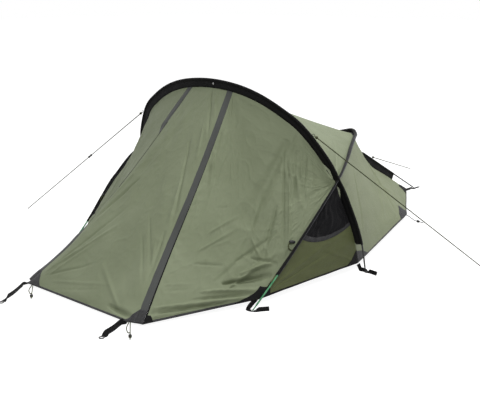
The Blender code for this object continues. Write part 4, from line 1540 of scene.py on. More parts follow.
@dataclass
class Flysheet(Assembly):
    """Outer tent: front panel, zip strips, doors, roof, rear canopy, vents and skirts."""

    cloth: float = 0.0008
    tape_lift: float = 0.0006
    tape: float = 0.0006
    seam_shares: tuple = (0.0, 0.075, 0.15, 0.30, 0.45, 0.59, 0.72, 0.84, 0.935, 1.0)
    door_creases: tuple = (
        (655, 143, 355, 671, 40, -14), (502, 544, 328, 822, 14, -3), (703, 20, 621, 434, 10, -4),
        (633, 239, 595, 920, 8, -6), (662, 283, 634, 940, 6, 5), (695, 187, 673, 749, 6, -5),
        (728, 145, 713, 646, 6, 4), (764, 177, 739, 715, 6, -4), (580, 622, 465, 865, 10, -5),
        (151, 668, 340, 608, 6, 3), (124, 739, 324, 667, 8, 4), (119, 789, 262, 823, 5, -4),
        (226, 887, 497, 767, 14, -2), (264, 932, 578, 900, 12, 5), (305, 818, 574, 787, 10, -5),
        (388, 813, 560, 960, 8, -5), (326, 875, 560, 940, 10, 6), (253, 902, 520, 980, 12, -12),
        (173, 917, 450, 982, 8, 5), (142, 942, 402, 977, 6, -5), (6, 945, 365, 987, 8, 9),
        (6, 965, 347, 992, 5, -9), (16, 979, 319, 996, 4, 6), (34, 263, 118, 457, 10, 4),
        (66, 175, 70, 304, 10, -3), (10, 854, 149, 879, 4, 2), (38, 884, 152, 900, 4, -2),
        (182, 550, 290, 564, 4, -2), (411, 735, 465, 865, 8, 4))
    front_creases: tuple = (
        (416, 2, 39, 210, 6, -6), (263, 16, 62, 127, 7, 4), (221, 142, 77, 315, 8, 4),
        (319, 238, 20, 633, 9, -5), (70, 633, 20, 894, 9, -5), (172, 404, 68, 605, 8, 5),
        (339, 574, 38, 810, 6, -3), (296, 664, 45, 870, 5, -3), (125, 681, 40, 794, 5, 3),
        (744, 440, 962, 708, 12, -7), (891, 417, 990, 640, 8, 5), (885, 954, 547, 835, 6, -4),
        (925, 942, 581, 645, 8, 5), (924, 932, 626, 565, 7, -5), (860, 954, 684, 736, 8, 4),
        (801, 962, 307, 900, 6, 2),
        (667, 980, 361, 929, 4, -2), (239, 969, 36, 985, 11, -12), (129, 977, 525, 823, 10, 3))
    patches: tuple = (
        ("front", Slot.GREY_TAPE, ((0, 1000), (0, 950), (24, 965), (72, 1000))),
        ("front", Slot.GREY_TAPE, ((1000, 1000), (1000, 946), (923, 961), (830, 1000))),
        ("strip", Slot.GREY_TAPE, ((0, 950), (1000, 950), (1000, 1000), (0, 1000))),
        ("door", Slot.BLACK_TAPE, ((0, 1000), (0, 967), (16, 972), (34, 1000))),
        ("door", Slot.BLACK_TAPE, ((290, 1000), (330, 986), (440, 962), (481, 1000))),
        ("skirt", Slot.BLACK_TAPE, ((0, 1000), (0, 700), (60, 860), (110, 1000))),
        ("skirt", Slot.BLACK_TAPE, ((1000, 1000), (1000, 640), (945, 800), (860, 1000))),
        ("rear", Slot.GREY_TAPE, ((0, 1000), (0, 840), (30, 905), (60, 1000))),
        ("rear", Slot.GREY_TAPE, ((289, 1000), (300, 940), (333, 884), (352, 1000))),
        ("rear", Slot.BLACK_TAPE, ((460, 1000), (482, 860), (500, 860), (500, 1000))))
    rear_creases: tuple = (
        (440, 420, 286, 912, 14, -9), (354, 282, 328, 895, 12, 6), (131, 158, 40, 797, 14, -5),
        (460, 404, 194, 909, 16, 5), (290, 428, 381, 837, 8, -4))
    roof_creases: tuple = ((30, 500, 300, 300, 10, 4), (30, 500, 300, 750, 12, -4),
                           (970, 500, 700, 300, 10, 4), (970, 500, 700, 750, 12, -4))
    skirt_creases: tuple = (
        (20, 950, 550, 100, 12, 4), (980, 950, 500, 200, 12, 4), (60, 900, 900, 300, 9, -3))
    front_relief: Relief = Relief(1.6, (0.0018, (12, 8), 3),
                                  (((14, 8), 0.0018, 6), ((28, 18), 0.0008, 8)))
    door_relief: Relief = Relief(1.0, (0.0020, (12, 12), 7),
                                 (((12, 12), 0.0026, 17), ((26, 22), 0.0012, 18)))
    rear_relief: Relief = Relief(1.5, (0.0012, (9, 20), 9), (((14, 14), 0.0010, 19),))
    roof_relief: Relief = Relief(1.0, (0.001, (10, 20), 5))
    skirt_relief: Relief = Relief(1.0, (0.001, (8, 8), 15))
    front_fade: tuple = (0.75, 0.86, 0.12)
    door_folds: tuple = (1.7, 1.3)
    door_folds_from: tuple = (0.15, 0.78)
    door_gathers: tuple = (("l", 0.055, 0.035, 0.0032, 21), ("b", 0.030, 0.04, 0.0014, 31))
    door_gathers_from: float = 0.40
    door_pleats: tuple = (0.0035, 27.0, 0.3, ((5, 9), 23))
    door_pleats_in: tuple = ((0.56, 0.86), (0.06, 0.85))
    door_crumples: tuple = ((44, 40), 0.0022, 24)
    door_crumples_in: tuple = ((0.25, 0.8), (0.45, 1.05))
    roof_gathers: tuple = ("b", 0.04, 0.04, 0.001, 41)
    net_pleats: tuple = (0.0035, 6.5, 0.6, ((4, 5), 12))
    net_noise: tuple = (0.001, (14, 6), 13)
    far_ease: float = 0.4
    far_sag: float = 0.050
    far_sags_in: tuple = ((1.0, ((-0.12, 0.5), (0.42, 1.08))), (0.5, ((0.45, 1.05), (0.1, 0.95))))
    rounds: dict = field(default_factory=lambda: {Side.NEAR: 14, Side.FAR: 60})
    net_bow: float = 0.75
    border_lift: float = 0.0010
    cross_gap: float = 0.003
    strip_cloth: float = 0.0012
    strip_relief: tuple = (0.0016, 0.0009, 0.0006)
    hinge_at: int = 300
    hinge_span: tuple = (-0.01, 0.07)
    toggle_at: tuple = (0.648, 0.93, 0.96)
    toggle_half: float = 0.017
    toggle_radius: float = 0.0078
    toggle_lift: float = 0.010
    loop_drop: tuple = (0.022, 0.003)
    loop_size: tuple = (0.019, 0.0024)
    sheets: dict = field(default_factory=dict)

    def build(self) -> None:
        """Make every cloth of the flysheet."""
        self.build_front()
        self.build_roof()
        self.build_rear()
        for side in Side:
            self.build_strip(side)
            self.build_door(side)
            self.build_vent(side)
            self.build_patches(side)

    def build_patches(self, side: Side) -> None:
        """Reinforcing patches at the hem's corners, and the toggle that ties the door back.

        Args:
            side: side of the tent.
        """
        for number, (where, slot, corners) in enumerate(self.patches):
            corners = np.array(corners)
            if side is Side.FAR and where == "front":
                continue
            if side is Side.FAR and where == "rear":
                corners = (1000, 0) + corners * (-1, 1)
            sheet = self.sheets[where if where in self.sheets else f"{where}_{side}"]
            patch = sheet.patch(f"patch_{where}_{number}_{side}", corners, 2 * self.tape_lift)
            moves = where == "door" and corners[:, 0].max() < self.hinge_at
            piece = self.dress(patch.make(self.tape), slot, None if moves else "tent")
            if moves:
                self.hinge(piece, side)
        across, high, low = self.toggle_at
        door = self.sheets[f"door_{side}"]
        spot = door.at(across, high)
        out, down = outward(spot), unit(door.at(across, low) - spot)
        middle, half = spot + out * self.toggle_lift, unit(np.cross(out, down)) * self.toggle_half
        round_it = np.sqrt(1 - np.linspace(-0.93, 0.93, 9) ** 4)
        toggle = round_tube(f"toggle_{side}", straight(middle - half, middle + half, 9),
                            self.toggle_radius * round_it, out)
        self.dress(toggle, Slot.BLACK_PLASTIC)
        centre = spot + down * self.loop_drop[0] + out * self.loop_drop[1]
        loop = torus(f"toggle_loop_{side}", centre, out, *self.loop_size)
        self.dress(loop, Slot.GUYLINE, material=self.finishes.olive_cord)

    def trim(self, sheet: Sheet, name: str, edge: str, width: float, slot: Slot,
             hinged: Side | None = None, lift: float | None = None, **where: float) -> None:
        """Tape along an edge of a sheet.

        Args:
            sheet: the sheet.
            name: the tape's name.
            edge: the edge's letter.
            width: its width.
            slot: its finish.
            hinged: side of the door that it belongs to, where it gets no body and has its place baked into
                its mesh, or None where it rides on the tent.
            lift: height above the sheet, where it isn't the usual one.
            where: start and end of the tape, for Sheet.band.
        """
        band = sheet.band(name, edge, width, lift or self.tape_lift, **where)
        piece = self.dress(band.make(self.tape), slot, None if hinged else "tent")
        if hinged:
            self.hinge(piece, hinged)

    def build_front(self) -> None:
        """Fixed front panel: a patch between the hoop, both zip strips and the front hem."""
        near, far = (LINES.strip_edges(side, 49)[0] for side in Side)
        half = LINES.main_seam(np.linspace(0.0, LINES.strip_marks[0], 17))
        top = np.vstack((mirrored(half[::-1], -1), half[1:]))
        pull = np.array(LINES.front_pull)
        hem = evenly(np.vstack((near[-1], straight(mirrored(pull, -1), pull, 7), far[-1])), len(top))
        sheet = Sheet("front_cloth", resampled(relaxed(coons(top, hem, near, far), 10), 190, 110))
        heights = self.front_relief.heights(sheet, self.front_creases)
        share, start, width = self.front_fade
        heights *= 1 - share * smooth_step((shares(110)[None] - start) / width)
        sheet.press(heights)
        self.sheets["front"] = sheet
        piece = self.dress(sheet.make(self.cloth), Slot.CANOPY, nodes=["front_panel"])
        self.declare(piece, sheet, "stretched", ["main_hoop_pole"])
        self.trim(sheet, "front_zip_tape", "r", 0.005, Slot.BLACK_TAPE, start=0.17, end=0.5)
        self.trim(sheet, "front_hem_tape", "b", 0.010, Slot.GREY_TAPE)

    def build_strip(self, side: Side) -> None:
        """Zip strip: a band of double cloth, bowed outwards, with a welt along each edge.

        Args:
            side: side of the tent.
        """
        inner, outer = LINES.strip_edges(side, 120)
        sheet = Sheet(f"zip_cloth_{side}", np.moveaxis(ruled(inner, outer, 25), 0, 1))
        u = np.linspace(-1.0, 1.0, 25)[None]
        bow, welt, crease = self.strip_relief
        shape = bow * (1 - u**2) + welt * np.exp(-((np.abs(u) - 0.88) / 0.07) ** 2)
        heights = shape + crease * soft_noise((120, 25), (26, 3), 11)
        sheet.grid = sheet.grid + sheet.normals() * heights[..., None]
        self.sheets[f"strip_{side}"] = sheet
        piece = self.dress(sheet.make(self.strip_cloth), Slot.STRIP_CLOTH, nodes=[f"zip_strip_{side}"])
        self.declare(piece, sheet, "stretched", ["front_cloth"])

    def door_grid(self, side: Side) -> Points:
        """Door and side panel in one: rulings from strip to fold, then from the hoop's seam to the leg.

        Args:
            side: side of the tent.

        Returns:
            The grid, relaxed as a membrane.
        """
        rows = 61
        _, outer = LINES.strip_edges(side, rows)
        hem = LINES.door_hem(side)
        flap = np.moveaxis(ruled(outer, straight(outer[0], hem, rows), 25), 0, 1)
        step = np.linspace(0.0, 8.9, 46)
        share = np.interp(step, np.arange(10), self.seam_shares)
        upper = LINES.main_seam(LINES.strip_marks[1] + (LINES.main_cross - LINES.strip_marks[1]) * share)
        rise = np.clip((step - 1) / 8, 0.0, 1.0)
        lower = LINES.rear_seam(LINES.rear_low + (LINES.rear_cross - LINES.rear_low) * rise)
        lower = mirrored(lower, side)
        lower += (hem - lower[0]) * np.clip(1 - step, 0.0, 1.0)[:, None]
        quarter = ruled(mirrored(upper, side), lower, rows)
        grid = relaxed(np.concatenate((flap, quarter[:, 1:]), axis=1), self.rounds[side])
        return resampled(grid, 200, 230)

    def build_door(self, side: Side) -> None:
        """Door and side panel with their folds, zip coil and tapes.

        Args:
            side: side of the tent.
        """
        sheet = Sheet(f"door_cloth_{side}", self.door_grid(side))
        u, v = shares(230)[None], shares(200)[:, None]
        plain, extra = self.door_folds
        across, down = self.door_folds_from
        low = smooth_step((v - down) / 0.1) * smooth_step((u - across) / 0.1)
        heights = self.door_relief.heights(sheet, self.door_creases, plain + extra * low)
        zip_side, hem_side = (sheet.puckers(*row) for row in self.door_gathers)
        heights += zip_side + hem_side * smooth_step((u - self.door_gathers_from) / 0.05)
        size, *waves = self.door_pleats
        heights += size * pleats(u, heights.shape, *waves) * window(u, v, self.door_pleats_in)
        heights += sheet.crinkles(*self.door_crumples) * window(u, v, self.door_crumples_in)
        if side is Side.FAR:
            sag = sum(share * window(u, v, spans) for share, spans in self.far_sags_in)
            heights = self.far_ease * heights - self.far_sag * sag
        sheet.press(heights)
        self.sheets[f"door_{side}"] = sheet
        nodes = [f"door_flap_{side}", f"door_quarter_{side}"]
        piece = self.dress(sheet.make(self.cloth), Slot.CANOPY, None, nodes)
        self.hinge(piece, side)
        self.declare(piece, sheet, "stretched", ["main_hoop_pole", "rear_hoop_pole"])
        self.trim(sheet, f"door_seam_tape_{side}", "t", 0.004, Slot.BLACK_TAPE, start=0.9)
        self.trim(sheet, f"door_hem_tape_{side}", "b", 0.012, Slot.GREY_TAPE, side, end=0.41)
        self.trim(sheet, f"zip_coil_{side}", "l", 0.0050, Slot.BLACK_TAPE, side)

    def hinge(self, piece: Piece, side: Side) -> None:
        """Bake a piece's place into its mesh; the door's fold line is worked out, but nothing bends.

        Args:
            piece: the piece.
            side: side of the door.
        """
        top = mirrored(LINES.main_seam(LINES.strip_marks[1:]), side)[0]
        hem = LINES.door_hem(side)
        axis, middle = unit(hem - top), (top + hem) / 2
        away = LINES.foot_of_strip(side) - middle
        away = unit(away - axis * np.dot(away, axis))
        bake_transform(piece)

    def build_roof(self) -> None:
        """Roof between the hoops: straight rulings from one seam to the other."""
        main, rear = (seam(np.linspace(0.0, cross - self.cross_gap, 81)) for seam, cross in
                      ((LINES.main_seam, LINES.main_cross), (LINES.rear_seam, LINES.rear_cross)))
        main, rear = (np.vstack((mirrored(line[::-1], -1), line[1:])) for line in (main, rear))
        sheet = Sheet("roof_cloth", resampled(relaxed(ruled(main, rear, 41), 12), 130, 240))
        heights = self.roof_relief.heights(sheet, self.roof_creases) + sheet.puckers(*self.roof_gathers)
        sheet.press(heights, 0.02, "tb")
        self.trim(sheet, "roof_seam_tape", "b", 0.012, Slot.GREY_TAPE)
        piece = self.dress(sheet.make(self.cloth), Slot.CANOPY,
                           nodes=[f"roof_panel_{side}" for side in Side])
        self.declare(piece, sheet, "stretched", ["main_hoop_pole", "rear_hoop_pole"])

    def rear_half(self, side: Side) -> Points:
        """Half of the rear canopy: a patch from the leg to the hip, then rulings to the ridge.

        Args:
            side: side of the tent.

        Returns:
            The half's grid, with the leg's column first.
        """
        rows = 65
        leg = mirrored(LINES.main_seam(np.linspace(LINES.main_cross, LINES.main_low, rows)), side)
        seam = mirrored(LINES.rear_seam(np.linspace(LINES.rear_cross, 0.0, 49)), side)
        corner = mirrored(LINES.side_corner, side)
        hip = straight(seam[-1], corner, rows)
        hip = hip - LINES.hip_sag * np.sin(np.linspace(0.0, math.pi, rows))[:, None] * outward(hip)
        flank = coons(seam, straight(leg[-1], corner, 49), leg, hip)
        tail = np.moveaxis(ruled(hip, LINES.ridge(rows), 25), 0, 1)
        return np.concatenate((flank, tail[:, 1:]), axis=1)

    def build_rear(self) -> None:
        """Rear canopy from leg to leg over the ridge, which stays where it is drawn."""
        near, far = (self.rear_half(side) for side in Side)
        middle = near.shape[1] - 1
        grid = relaxed(np.concatenate((near, far[:, -2::-1]), axis=1), 25, [middle])
        sheet = Sheet("rear_cloth", resampled(grid, 150, 2 * middle + 111))
        creases = np.array(self.rear_creases)
        both = np.vstack((creases, creases * (-1, 1, -1, 1, 1, 1) + (1000, 0, 1000, 0, 0, 0)))
        sheet.press(self.rear_relief.heights(sheet, both), 0.03, "lrt")
        self.sheets["rear"] = sheet
        nodes = [f"{part}_{side}" for part in ("rear_flank", "tail_panel") for side in Side]
        piece = self.dress(sheet.make(self.cloth), Slot.CANOPY_REAR, nodes=nodes)
        self.declare(piece, sheet, "stretched", ["rear_hoop_pole", "tail_pole"])
        self.trim(sheet, "rear_hem_tape", "b", 0.009, Slot.GREY_TAPE)

    def build_vent(self, side: Side) -> None:
        """Net and skirt between both hoops' legs, with the net's border bowed downwards.

        Args:
            side: side of the tent.
        """
        rear, main = (mirrored(seam(np.linspace(cross + 0.004, low, 200)), side) for seam, cross, low in
                      ((LINES.rear_seam, LINES.rear_cross, LINES.rear_low),
                       (LINES.main_seam, LINES.main_cross, LINES.main_low)))
        wall = Sheet("wall", np.moveaxis(ruled(rear, main, 2), 0, 1))
        u, share = shares(49), shares(60)[:, None]
        wide = np.broadcast_to(u, (60, 49))
        border = (4 + self.net_bow * np.sin(math.pi * u)) / 8
        net = Sheet(f"vent_net_{side}", wall.at(wide, share * border))
        size, *waves = self.net_pleats
        height, *noise = self.net_noise
        heights = size * pleats(u[None], wide.shape, *waves) + height * soft_noise(wide.shape, *noise)
        net.press(heights, 0.02)
        skirt = Sheet(f"skirt_cloth_{side}", wall.at(wide, border + (1 - border) * share))
        skirt.press(self.skirt_relief.heights(skirt, self.skirt_creases), 0.02, "lrt")
        self.sheets[f"skirt_{side}"] = skirt
        for sheet, node, slot, size in ((net, "vent_panel", Slot.MESH_CLOTH, (110, 70)),
                                        (skirt, "side_skirt", Slot.SIDE_CLOTH, (90, 90))):
            fine = Sheet(sheet.name, resampled(sheet.grid, *size))
            piece = self.dress(fine.make(self.cloth), slot, nodes=[f"{node}_{side}"])
            self.declare(piece, sheet, "stretched", ["main_hoop_pole", "rear_hoop_pole"])
        self.trim(net, f"vent_border_{side}", "b", 0.024, Slot.GREY_TAPE, lift=self.border_lift)
        self.trim(skirt, f"skirt_hem_tape_{side}", "b", 0.012, Slot.BLACK_TAPE)


# ---- poles and sleeves


@dataclass
class Poles(Assembly):
    """Both hoops and the tail pole: tube sections with ferrules and ground tips."""

    radius: float = 0.00425
    ferrule: float = 0.0049
    ferrule_length: float = 0.045
    tip: float = 0.0030
    tip_length: float = 0.030
    section: float = 0.42
    crossing: float = 0.09
    foot_rise: float = 0.0022
    step: float = 0.0013

    def build(self) -> None:
        """Make the three poles."""
        for name, line, slot, cross in (("main_hoop", LINES.main, Slot.POLE_BLACK, LINES.main_cross),
                                        ("rear_hoop", LINES.rear, Slot.POLE_GREEN, LINES.rear_cross)):
            half = line.copy()
            half[-1, 2] += self.foot_rise
            path = np.vstack((mirrored(half[::-1], -1), half[1:]))
            self.pole(name, path, slot, cross)
        top, foot = np.array(LINES.tail_pole)
        self.pole("tail", straight(top, foot, 40), Slot.POLE_BLACK)

    def pole(self, name: str, path: Points, slot: Slot, cross: float | None = None) -> None:
        """One pole along a path, thicker at its ferrules and thinner at its tips.

        Args:
            name: start of the CAD node's name.
            path: its centre line.
            slot: its finish.
            cross: for a hoop, length from the middle to the crossing, where no ferrule sits.
        """
        total = lengths_along(path)[-1]
        joints = np.linspace(0.0, total, max(2, round(total / self.section)) + 1)[1:-1]
        half, tip = self.ferrule_length / 2, self.tip_length
        edges = np.concatenate([joints + sign * reach for sign in (-1, 1)
                                for reach in (half, half + self.step)])
        ends = (tip, tip + self.step, total - tip, total - tip - self.step)
        marks = np.unique(np.concatenate((np.linspace(0.0, total, 420), edges, ends)))
        if cross:
            joints = joints[np.abs(np.abs(joints - total / 2) - cross) > self.crossing]
        radii = np.full(len(marks), self.radius)
        radii[np.min(np.abs(marks[:, None] - joints[None]), axis=1) <= half + 1e-6] = self.ferrule
        if cross:
            radii[marks <= tip + 1e-6] = self.tip
        radii[marks >= total - tip - 1e-6] = self.tip
        centre = at_lengths(path, marks)
        beside = outward(centre) if cross else (0.0, 1.0, 0.0)
        self.dress(round_tube(f"{name}_tube", centre, radii, beside, 16), slot, nodes=[f"{name}_pole"])


@dataclass
class Sleeves(Assembly):
    """Sleeves of the hoops and of the tail pole: cloth folded round the pole down to the seam."""

    bore: float = 0.0050
    skin_radius: float = 0.0064
    tight: float = 0.00492
    rear_tight: float = 0.00484
    crossing: float = 0.045
    web: float = 0.0014
    leg_share: float = 0.75
    end_length: float = 0.02
    end_reach: float = 0.75
    ease_share: float = 0.6
    top_share: float = 0.9
    web_steps: tuple = (0.3, 0.65, 1.0)
    rear_share: float = 0.80
    overlap: float = 1.1
    tail_overlap: float = 1.2
    top_extra: float = 0.006
    gap: float = 0.0004
    tight_reach: float = 0.03
    lens_below: tuple = (-0.165, -0.004, 1.5)
    lens_above: tuple = (-0.130, -0.006, 1.5)
    lens_depth: float = 0.5
    ripple: float = 0.0012
    ripple_length: float = 0.021
    eyelet_at: float = 0.035
    eyelet_drop: float = 0.02
    eyelet_lift: float = 0.0022
    eyelet_size: tuple = (0.0045, 0.0014)

    def build(self) -> None:
        """Make the three sleeves."""
        self.build_main()
        self.build_rear()
        self.build_tail()

    @staticmethod
    def both_ways(end: float, count: int) -> tuple[Points, Points]:
        """Marks from one leg to the other over a hoop's top.

        Args:
            end: length from the top to the sleeve's end.
            count: number of marks.

        Returns:
            Length from the top at each mark, and factors that mirror a point to its side.
        """
        lengths = np.linspace(-end, end, count)
        return np.abs(lengths), np.where(lengths < 0, -1.0, 1.0)[:, None] * (0, 1, 0) + (1, 0, 1)

    def build_main(self) -> None:
        """Main sleeve from leg to leg; beside each crossing a lens is left open in its web."""
        end = LINES.main_cross + self.leg_share * (LINES.main_low - LINES.main_cross)
        from_top, side = self.both_ways(end, 700)
        apart = from_top - LINES.main_cross
        lens = bump(apart, *self.lens_below) + bump(-apart, *self.lens_above)
        tightness = np.exp(-(apart / self.tight_reach) ** 4)
        radius = self.skin_radius - (self.skin_radius - self.tight) * tightness
        fin_end = np.clip((end - from_top) / self.end_length, 0.0, 1.0)
        reach = (self.overlap - self.lens_depth * lens) * (self.end_reach + (1 - self.end_reach) * fin_end)
        piece = self.sleeve("main_sleeve_cloth", LINES.main_at(from_top) * side,
                            LINES.main_seam(from_top) * side, radius, reach)
        self.dress(piece, Slot.BLACK_TAPE, nodes=["main_sleeve", "main_fin_near", "main_fin_far"])
        top = LINES.main_at(self.eyelet_at)[0] * (1, -1, 1)
        spot = top - self.eyelet_drop * outward(top) - (self.eyelet_lift, 0.0, 0.0)
        eyelet = torus("apex_eyelet", spot, (1.0, 0.0, 0.1), *self.eyelet_size)
        self.dress(eyelet, Slot.RING_METAL, material=self.finishes.bright)

    def build_rear(self) -> None:
        """Rear sleeve from leg to leg, wrapped tight where it passes inside the main hoop."""
        end = LINES.rear_cross + self.rear_share * (LINES.rear_low - LINES.rear_cross)
        from_top, side = self.both_ways(end, 760)
        ease = self.crossing * self.ease_share
        free = smooth_step((np.abs(from_top - LINES.rear_cross) - ease) / ease)
        high = np.clip(1.0 - from_top / (self.top_share * LINES.rear_cross), 0.0, 1.0)
        radius = self.rear_tight + (self.skin_radius - self.rear_tight) * free + self.top_extra * high
        piece = self.sleeve("rear_sleeve_cloth", LINES.rear_at(from_top) * side,
                            LINES.rear_seam(from_top) * side, radius, self.overlap * free)
        # Its finish paints shade on the sleeve: black on all but one span round it.
        self.dress(piece, Slot.GREY_TAPE, nodes=["rear_sleeve", "rear_fin_near", "rear_fin_far"],
                   material=self.finishes.two_faced)

    def build_tail(self) -> None:
        """Fin between the tail pole and the ridge."""
        marks = smooth_curve(np.array(LINES.ridge_shape)[1:6], 20)[14:]
        top, foot = np.array(LINES.tail_pole)
        line = unit(foot - top)
        run = np.sum((marks - top) * line, axis=1)
        piece = self.sleeve("tail_fin_cloth", top + run[:, None] * line, marks,
                            np.full(len(marks), self.skin_radius),
                            np.full(len(marks), self.tail_overlap))
        self.dress(piece, Slot.BLACK_TAPE, nodes=["tail_fin"])

    def sleeve(self, name: str, pole: Points, seam: Points, radius: Points, reach: Points) -> Piece:
        """Folded strip: round the pole, then two layers down towards the seam.

        Each ring runs round the pole from one side of the web to the other, then down one
        face of the web and back up the other; a second ring inside it is the bore.

        Args:
            name: the piece's name.
            pole: centre line of the pole.
            seam: the canopy's seam beside each point.
            radius: outside radius round the pole.
            reach: share of the way to the seam that the web goes.

        Returns:
            The piece.
        """
        tangent = unit(np.gradient(pole, axis=0))
        fall = seam - pole
        full = np.linalg.norm(fall, axis=1) - 2 * self.gap
        flat = unit(fall - tangent * np.sum(fall * tangent, axis=1, keepdims=True))
        across = np.cross(tangent, flat)
        lead = math.asin(self.web / 2 / self.rear_tight)

        def around(angle: Points, size: ArrayLike) -> Points:
            """Points round the pole at angles from the way down, at distance size."""
            turn = np.cos(angle)[None, :, None] * flat[:, None]
            return pole[:, None] + size * (turn + np.sin(angle)[None, :, None] * across[:, None])

        angle = np.linspace(lead, 2 * math.pi - lead, 18)
        far = radius + np.maximum(full - radius, 0.0) * reach
        steps = np.array(self.web_steps)
        deep = radius[:, None] + (far - radius)[:, None] * steps
        ripple = (self.ripple * np.sin(lengths_along(pole) / self.ripple_length)[:, None]
                  * np.sin(math.pi * np.minimum(steps, 0.99)))
        web = [pole[:, None] + deep[..., None] * unit(fall)[:, None]
               + (sign * self.web / 2 + ripple)[..., None] * across[:, None] for sign in (-1, 1)]
        outer = np.concatenate((around(angle, radius[:, None, None]), web[0], web[1][:, ::-1]), axis=1)
        turn = np.concatenate((angle, np.linspace(-lead, lead, 8)[1:-1]))
        bore = self.bore * np.where(radius < self.bore + 0.0004, 0.94, 1.0)
        inner = around(turn, bore[:, None, None])
        rows, columns = outer.shape[:2]
        size = rows * columns
        quads = grid_quads(rows, columns, wrap=True)
        loop = np.arange(columns)
        onward = np.roll(loop, -1)
        first = np.stack((loop + size, onward + size, onward, loop), axis=-1)
        last = first[:, (1, 0, 3, 2)] + (rows - 1) * columns
        round_it = np.broadcast_to(np.arange(columns) * SLEEVE_ROUND / columns, (rows, columns))
        uv = np.stack(np.broadcast_arrays(lengths_along(pole)[:, None], round_it), axis=-1)
        return new_piece(name, np.stack((outer, inner)), [quads, quads[:, ::-1] + size, first, last],
                         np.stack((uv, uv)), flat=(2, 3))


# ---- webbing and hardware


@dataclass
class Straps(Assembly):
    """Webbing with rings and eyelets at the corners and the feet."""

    width: float = 0.022
    thickness: float = 0.0020
    ring_radius: float = 0.011
    ring_wire: float = 0.0026
    ends: tuple = ((-0.17, 0.425), (-0.225, 0.27))
    gap: float = 0.0004
    under: float = 0.0015
    hem_drop: float = 0.006
    ease: float = 0.18
    front_moves: tuple = ((0.022, -0.004), (0.003, -0.004), (-0.023, -0.004))
    hem_moves: tuple = ((0.010, -0.010), (-0.006, -0.010))
    rear_moves: tuple = ((-0.002, -0.026), (0.004, 0.014), (0.055, 0.058))
    main_moves: tuple = ((0.0, -0.022), (0.0, 0.025), (-0.008, 0.075))
    front_rolls: tuple = ((-1.35, 0.04, 1.0),)
    rear_rolls: tuple = ((-1.1, 0.0, 0.42), (1.2, 0.62, 1.3))
    main_rolls: tuple = ((1.3, -0.3, 0.56), (1.2, 0.50, 1.3))
    tail_rolls: tuple = ((1.3, -0.3, 0.5),)
    holes: tuple = (0.0068, 0.0044)

    def build(self) -> None:
        """Make all straps."""
        rest = self.thickness / 2 + 0.0001
        pull, rear_foot = np.array(LINES.front_pull), np.array(LINES.rear_foot)
        main_foot = LINES.main[-1]
        rear_hem = LINES.rear_seam(LINES.rear_low)[0]
        main_hem = LINES.main_seam(LINES.main_low)[0]
        for side, end in zip(Side, self.ends):
            front = self.moved(pull, self.front_moves, rest)
            front[:2, 2] = pull[2] - self.under
            bend = (end[0] * 0.6, front[0, 1] * 0.4 + end[1] * 0.6, rest)
            front = np.vstack((front, bend, (*end, rest)))
            self.strap(f"front_strap_{side}", front, self.front_rolls, side, 1.25)
            run = unit(front[-1] - front[-2])
            ring_at = front[-1] + run * (self.ring_radius + self.ring_wire + self.gap)
            ring_at[2] = self.ring_wire + 0.0001
            self.ring(f"front_ring_wire_{side}", f"front_ring_{side}", ring_at, side, self.ring_radius)
            route = np.vstack((self.moved(rear_hem, self.hem_moves, rear_hem[2] - self.under),
                               self.moved(rear_foot, self.rear_moves, rest)))
            strap = self.strap(f"rear_foot_strap_{side}", route, self.rear_rolls, side)
            drill(strap, mirrored(rear_foot + (0.0013, 0.0, 0.0), side), self.holes[0])
            route = np.vstack((main_hem + (0.0, 0.002, -self.hem_drop),
                               self.moved(main_foot, self.main_moves, rest)))
            strap = self.strap(f"main_foot_strap_{side}", route, self.main_rolls, side)
            drill(strap, mirrored(main_foot, side), self.holes[1])
            self.ring(f"main_foot_eyelet_{side}", f"main_foot_ring_{side}", (*main_foot[:2], 0.0042),
                      side, self.ring_radius * 0.6)
        tail, pole = LINES.tail_corner, LINES.tail_pole[1]
        route = ((tail[0] + 0.0012, 0.0, tail[2] - self.hem_drop), (tail[0] + 0.04, 0.0, rest),
                 (pole[0], 0.0, rest), (pole[0] + 0.075, 0.0, rest))
        self.strap("tail_strap", np.array(route), self.tail_rolls, Side.FAR)

    @staticmethod
    def moved(start: Points, moves: Rows, height: float) -> Points:
        """Points at moves back and out from start, all at one height."""
        return np.array([(start[0] + back, start[1] + out, height) for back, out in moves])

    def ring(self, name: str, node: str, centre: ArrayLike, side: Side, radius: float) -> None:
        """Metal ring that lies flat."""
        ring = torus(name, mirrored(centre, side), (0, 0, 1), radius, self.ring_wire)
        self.dress(ring, Slot.RING_METAL, nodes=[node])

    def strap(self, node: str, route: Points, rolls: Rows, side: Side, widen: float = 1.0) -> Piece:
        """Band of webbing along a route; its line is a smooth curve cut at the ground.

        Args:
            node: the CAD node.
            route: points of its line, drawn on the far side.
            rolls: for each turn onto its edge the greatest angle, and the shares of its
                length where the turn starts and where it ends.
            side: side of the tent.
            widen: factor on the width.

        Returns:
            The piece.
        """
        path = evenly(smooth_curve(mirrored(route, side), 16), 90)
        lean = side * sum(angle * plateau(shares(90), start, self.ease, end, self.ease)
                          for angle, start, end in rolls)
        width = self.width * widen
        low = self.thickness / 2 + 0.0001 + (width - self.thickness) / 2 * np.abs(np.sin(lean))
        path[:, 2] = np.maximum(path[:, 2], low)
        flat = band_profile(width, self.thickness)
        cos, sin = np.cos(lean)[:, None], np.sin(lean)[:, None]
        turned = np.stack((flat[:, 0] * cos - flat[:, 1] * sin,
                           flat[:, 0] * sin + flat[:, 1] * cos), axis=-1)
        rings = swept(path, UP, turned)
        rings[..., 2] = np.maximum(rings[..., 2], 0.0)
        return self.dress(skin(f"{node}_webbing", rings), Slot.BLACK_TAPE, nodes=[node])


